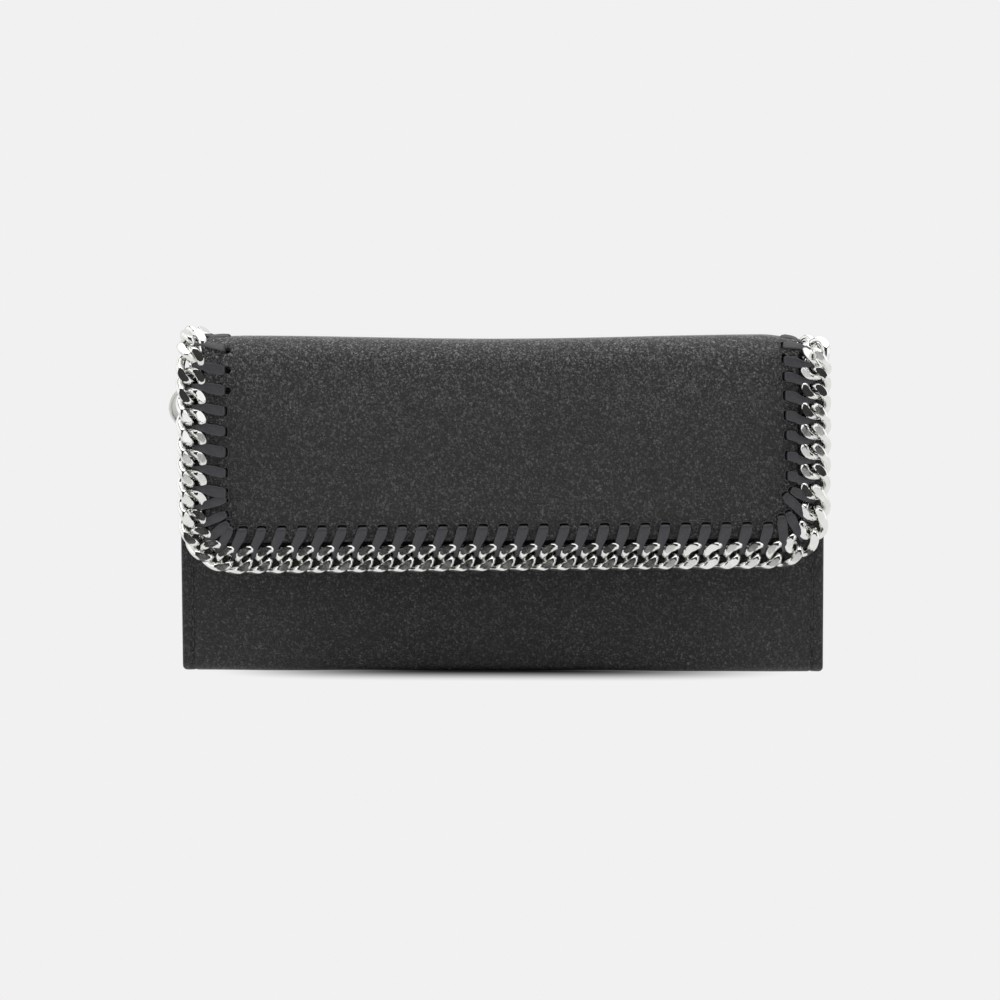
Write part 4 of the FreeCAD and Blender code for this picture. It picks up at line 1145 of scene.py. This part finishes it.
def charm():
    """Blank disc with a raised rim and an eye, and the jump ring that carries it."""
    ring_y = MID_Y + 0.8
    hang = FOLD_Z - PITCH / 2 - 4.25
    ring_z = hang - 1.25
    disc_y = BACK_Y + 0.3 + 0.6
    eye_z = ring_z - math.sqrt(RING_R**2 - (disc_y - ring_y) ** 2)
    disc_z = eye_z + 1.9 - DISC_R
    half = [(0.0, 0.42), (5.3, 0.42), (5.75, 0.5), (6.1, 0.6), (6.5, 0.56), (6.72, 0.34)]
    profile = [(r, -y) for r, y in half] + [(DISC_R, 0.0)] + half[::-1]
    around = 96
    build = Build()
    verts = []
    turns = np.linspace(0, 2 * np.pi, around, endpoint=False)
    rings = profile[1:-1]
    for r, depth in rings:
        for a in turns:
            verts.append((CHARM_X + r * math.cos(a), disc_y + depth, disc_z + r * math.sin(a)))
    faces = grid_faces(len(rings), around, False, True)
    low = len(verts)
    verts.append((CHARM_X, disc_y - 0.42, disc_z))
    verts.append((CHARM_X, disc_y + 0.42, disc_z))
    last = (len(rings) - 1) * around
    for i in range(around):
        faces.append((low, (i + 1) % around, i))
        faces.append((low + 1, last + i, last + (i + 1) % around))
    build.add(verts, faces)
    disc = build.make("charm_disc_skin", MATERIAL["charm"], sharp=40, with_uv=False)
    disc_top = disc_z + DISC_R
    weld(disc, 1e-7)
    tool = Build()
    tool_verts = []
    for depth in (-3.0, 3.0):
        for a in np.linspace(0, 2 * np.pi, 32, endpoint=False):
            tool_verts.append((CHARM_X + EYE_R * math.cos(a), disc_y + depth, eye_z + EYE_R * math.sin(a)))
    tool_faces = [tuple(range(32)), tuple(range(32, 64))[::-1]]
    tool_faces += [((i + 1) % 32, i, 32 + i, 32 + (i + 1) % 32) for i in range(32)]
    tool.add(tool_verts, tool_faces)
    cut_away(disc, tool.make("eye_cutter", MATERIAL["charm"], with_uv=False))
    for vertex in disc.data.vertices:
        vertex.co.y += DISC_TILT * (disc_top / 1000 - vertex.co.z)
    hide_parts("charm_disc")
    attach(disc, "charm")
    ring = Build()
    verts = []
    for a in np.linspace(0, 2 * np.pi, 64, endpoint=False):
        for b in np.linspace(0, 2 * np.pi, 14, endpoint=False):
            r = RING_R + RING_WIRE * math.cos(b)
            x = CHARM_X + RING_WIRE * math.sin(b)
            verts.append((x, ring_y + r * math.cos(a), ring_z + r * math.sin(a)))
    ring.add(verts, grid_faces(64, 14, True, True))
    obj = ring.make("charm_ring_skin", MATERIAL["chain"], sharp=60, with_uv=False)
    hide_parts("charm_ring")
    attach(obj, "charm")


def inside():
    refinish([f"rear_card_tier_{k}" for k in (1, 2, 3, 4)], MATERIAL["card"], 0.12)
    refinish([f"front_card_tier_{k}" for k in (1, 2)], MATERIAL["card"], 0.1)
    refinish(["zip_pocket"], MATERIAL["bag"], 0.12)
    refinish(["zip_tape_rear", "zip_tape_front"], MATERIAL["tape"], 0.08)
    refinish(["zip_teeth_rear", "zip_teeth_front", "zip_stops"], MATERIAL["zip"], 0.12)
    refinish(["zip_slider", "zip_pull"], MATERIAL["zip"], 0.16)
    refinish(["snap_stud", "snap_socket", "flap_snap_washer", "front_snap_washer"], MATERIAL["snap"], 0.12)
    tiers = []
    for k, top in enumerate((72.0, 62.0, 52.0, 42.0)):
        y = BACK_INNER - 0.35 * (k + 1)
        low = top - 9.5 if k < 3 else 2.5
        tiers.append(([(0, y, top - 0.6), (0, y, low)], v3(0, -1, 0)))
        for side in (-1, 1):
            tiers.append(([(side * 84.8, y, top - 0.6), (side * 84.8, y, low)], v3(0, -1, 0)))
    stitches("rear_tier_stitches", "shell", tiers, 1.9, 0.8, 0.16)


def boundary():
    hole_rims("flap_hole_rims", "flap", STATIONS["flap"][1:-1])
    for body, stations in STATIONS.items():
        node_name = {"shell": "back"}.get(body, body)
        laces(f"{node_name}_lacing", body, stations, f"{node_name}_laces")
        chain(f"{node_name}_chain", body, stations, f"{node_name}_links")


# ---- stage ----


WHITE = 0.879             # radiance of the pale backdrop


def stage_mesh(name, verts, faces, material, for_camera=True, for_light=True):
    mesh = bpy.data.meshes.new(name)
    mesh.from_pydata(verts, [], faces)
    mesh.shade_smooth()
    obj = bpy.data.objects.new(name, mesh)
    bpy.context.scene.collection.objects.link(obj)
    obj.data.materials.append(material)
    obj.visible_camera = for_camera
    obj.visible_diffuse = obj.visible_glossy = obj.visible_transmission = obj.visible_shadow = for_light


def glowing(name):
    """A material that sends out light and reflects none."""
    mat, tree, bsdf = new_material(name)
    bsdf.inputs["Base Color"].default_value = (0, 0, 0, 1)
    bsdf.inputs["Specular IOR Level"].default_value = 0.0
    bsdf.inputs["Emission Color"].default_value = (1, 1, 1, 1)
    return mat, tree, bsdf


def card(name, corners, strength, for_camera=False, for_light=True):
    """A large glowing card: a softbox, or a pale wall that only the camera sees."""
    mat, _, bsdf = glowing(name)
    bsdf.inputs["Emission Strength"].default_value = strength
    count = len(corners) // 4
    faces = [tuple(range(4 * i, 4 * i + 4)) for i in range(count)]
    stage_mesh(name, corners, faces, mat, for_camera, for_light)


def backdrop_material():
    """Pale sweep that glows evenly, dark well in front of the wallet; the contact shadow is painted in."""
    mat, tree, bsdf = glowing("backdrop")
    link = tree.links.new
    split = node(tree, "ShaderNodeSeparateXYZ")
    link(node(tree, "ShaderNodeTexCoord").outputs["Object"], split.inputs[0])
    wide = arithmetic(tree, "POWER", arithmetic(tree, "ABSOLUTE", split.outputs["X"], 0.0), 4.0)
    ahead = arithmetic(tree, "ABSOLUTE", arithmetic(tree, "ADD", split.outputs["Y"], 0.006), 0.0)
    deep = arithmetic(tree, "POWER", ahead, 2.0)
    wide, deep = arithmetic(tree, "DIVIDE", wide, 0.088**4), arithmetic(tree, "DIVIDE", deep, 0.021**2)
    away = arithmetic(tree, "SQRT", arithmetic(tree, "ADD", wide, deep), 0.0)
    shadow = smooth_range(tree, away, -0.03, 1.0)
    fade = smooth_range(tree, split.outputs["Y"], -1.0, -0.42)
    glow = arithmetic(tree, "MULTIPLY", arithmetic(tree, "MULTIPLY", shadow, fade), WHITE)
    link(glow, bsdf.inputs["Emission Strength"])
    bsdf.inputs["Roughness"].default_value = 1.0
    return mat


TOP_GLOW, SIDE_GLOW = 1.7, 1.12   # strength of the light from the cards


def studio():
    width, depth, rise, bend = 6.0, 2.2, 3.0, 0.7
    path = [(-1.6, 0.0), (-0.4, 0.0), (0.4, 0.0), (depth - bend, 0.0)]
    for a in np.radians(np.linspace(6, 90, 15)):
        path.append((depth - bend + bend * math.sin(a), bend - bend * math.cos(a)))
    path += [(depth, rise)]
    verts = [(x, y, z) for y, z in path for x in (-width / 2, width / 2)]
    faces = [(2 * i, 2 * i + 1, 2 * i + 3, 2 * i + 2) for i in range(len(path) - 1)]
    stage_mesh("backdrop", verts, faces, backdrop_material())
    card("top_card", [(-0.8, -0.85, 1.1), (0.8, -0.85, 1.1), (0.8, 0.7, 1.1), (-0.8, 0.7, 1.1)], TOP_GLOW)
    for name, x in (("left_card", -0.9), ("right_card", 0.9)):
        card(name, [(x, -1.2, 0.02), (x, 0.6, 0.02), (x, 0.6, 0.9), (x, -1.2, 0.9)], SIDE_GLOW)
    far, high = 5.0, 5.0
    around = [(-far, -far), (far, -far), (far, far), (-far, far)]
    room = [(-far, -far, 0.001), (far, -far, 0.001), (far, -0.4, 0.001), (-far, -0.4, 0.001)]
    for i in range(4):
        (x0, y0), (x1, y1) = around[i], around[(i + 1) % 4]
        room += [(x0, y0, -0.5), (x1, y1, -0.5), (x1, y1, high), (x0, y0, high)]
    room += [(x, y, high) for x, y in around]
    card("pale_room", room, WHITE, True, False)
    world = bpy.data.worlds.new("studio")
    world.use_nodes = True
    world.node_tree.nodes["Background"].inputs["Color"].default_value = (0.8, 0.8, 0.8, 1)
    world.node_tree.nodes["Background"].inputs["Strength"].default_value = 0.05
    bpy.context.scene.world = world
    bpy.context.scene.view_settings.view_transform = "Standard"


ROLL = -0.21              # the camera's roll in degrees


def camera():
    data = bpy.data.cameras.new("camera")
    data.lens, data.sensor_width = 100.0, 36.0
    obj = bpy.data.objects.new("camera", data)
    bpy.context.scene.collection.objects.link(obj)
    azimuth, elevation, distance = math.radians(2.5), math.radians(5.0), 0.822
    aim = Vector((-0.0003, -0.004, 0.0508))
    level = math.cos(elevation)
    back = Vector((math.sin(azimuth) * level, -math.cos(azimuth) * level, math.sin(elevation)))
    obj.location = aim + back * distance
    roll = Matrix.Rotation(math.radians(ROLL), 4, "Z")
    obj.rotation_euler = ((-back).to_track_quat("-Z", "Y").to_matrix().to_4x4() @ roll).to_euler()
    data.clip_start, data.clip_end = 0.01, 20
    bpy.context.scene.camera = obj


outer_shell()
front_wall()
gussets()
inside()
boundary()
charm()
studio()
camera()
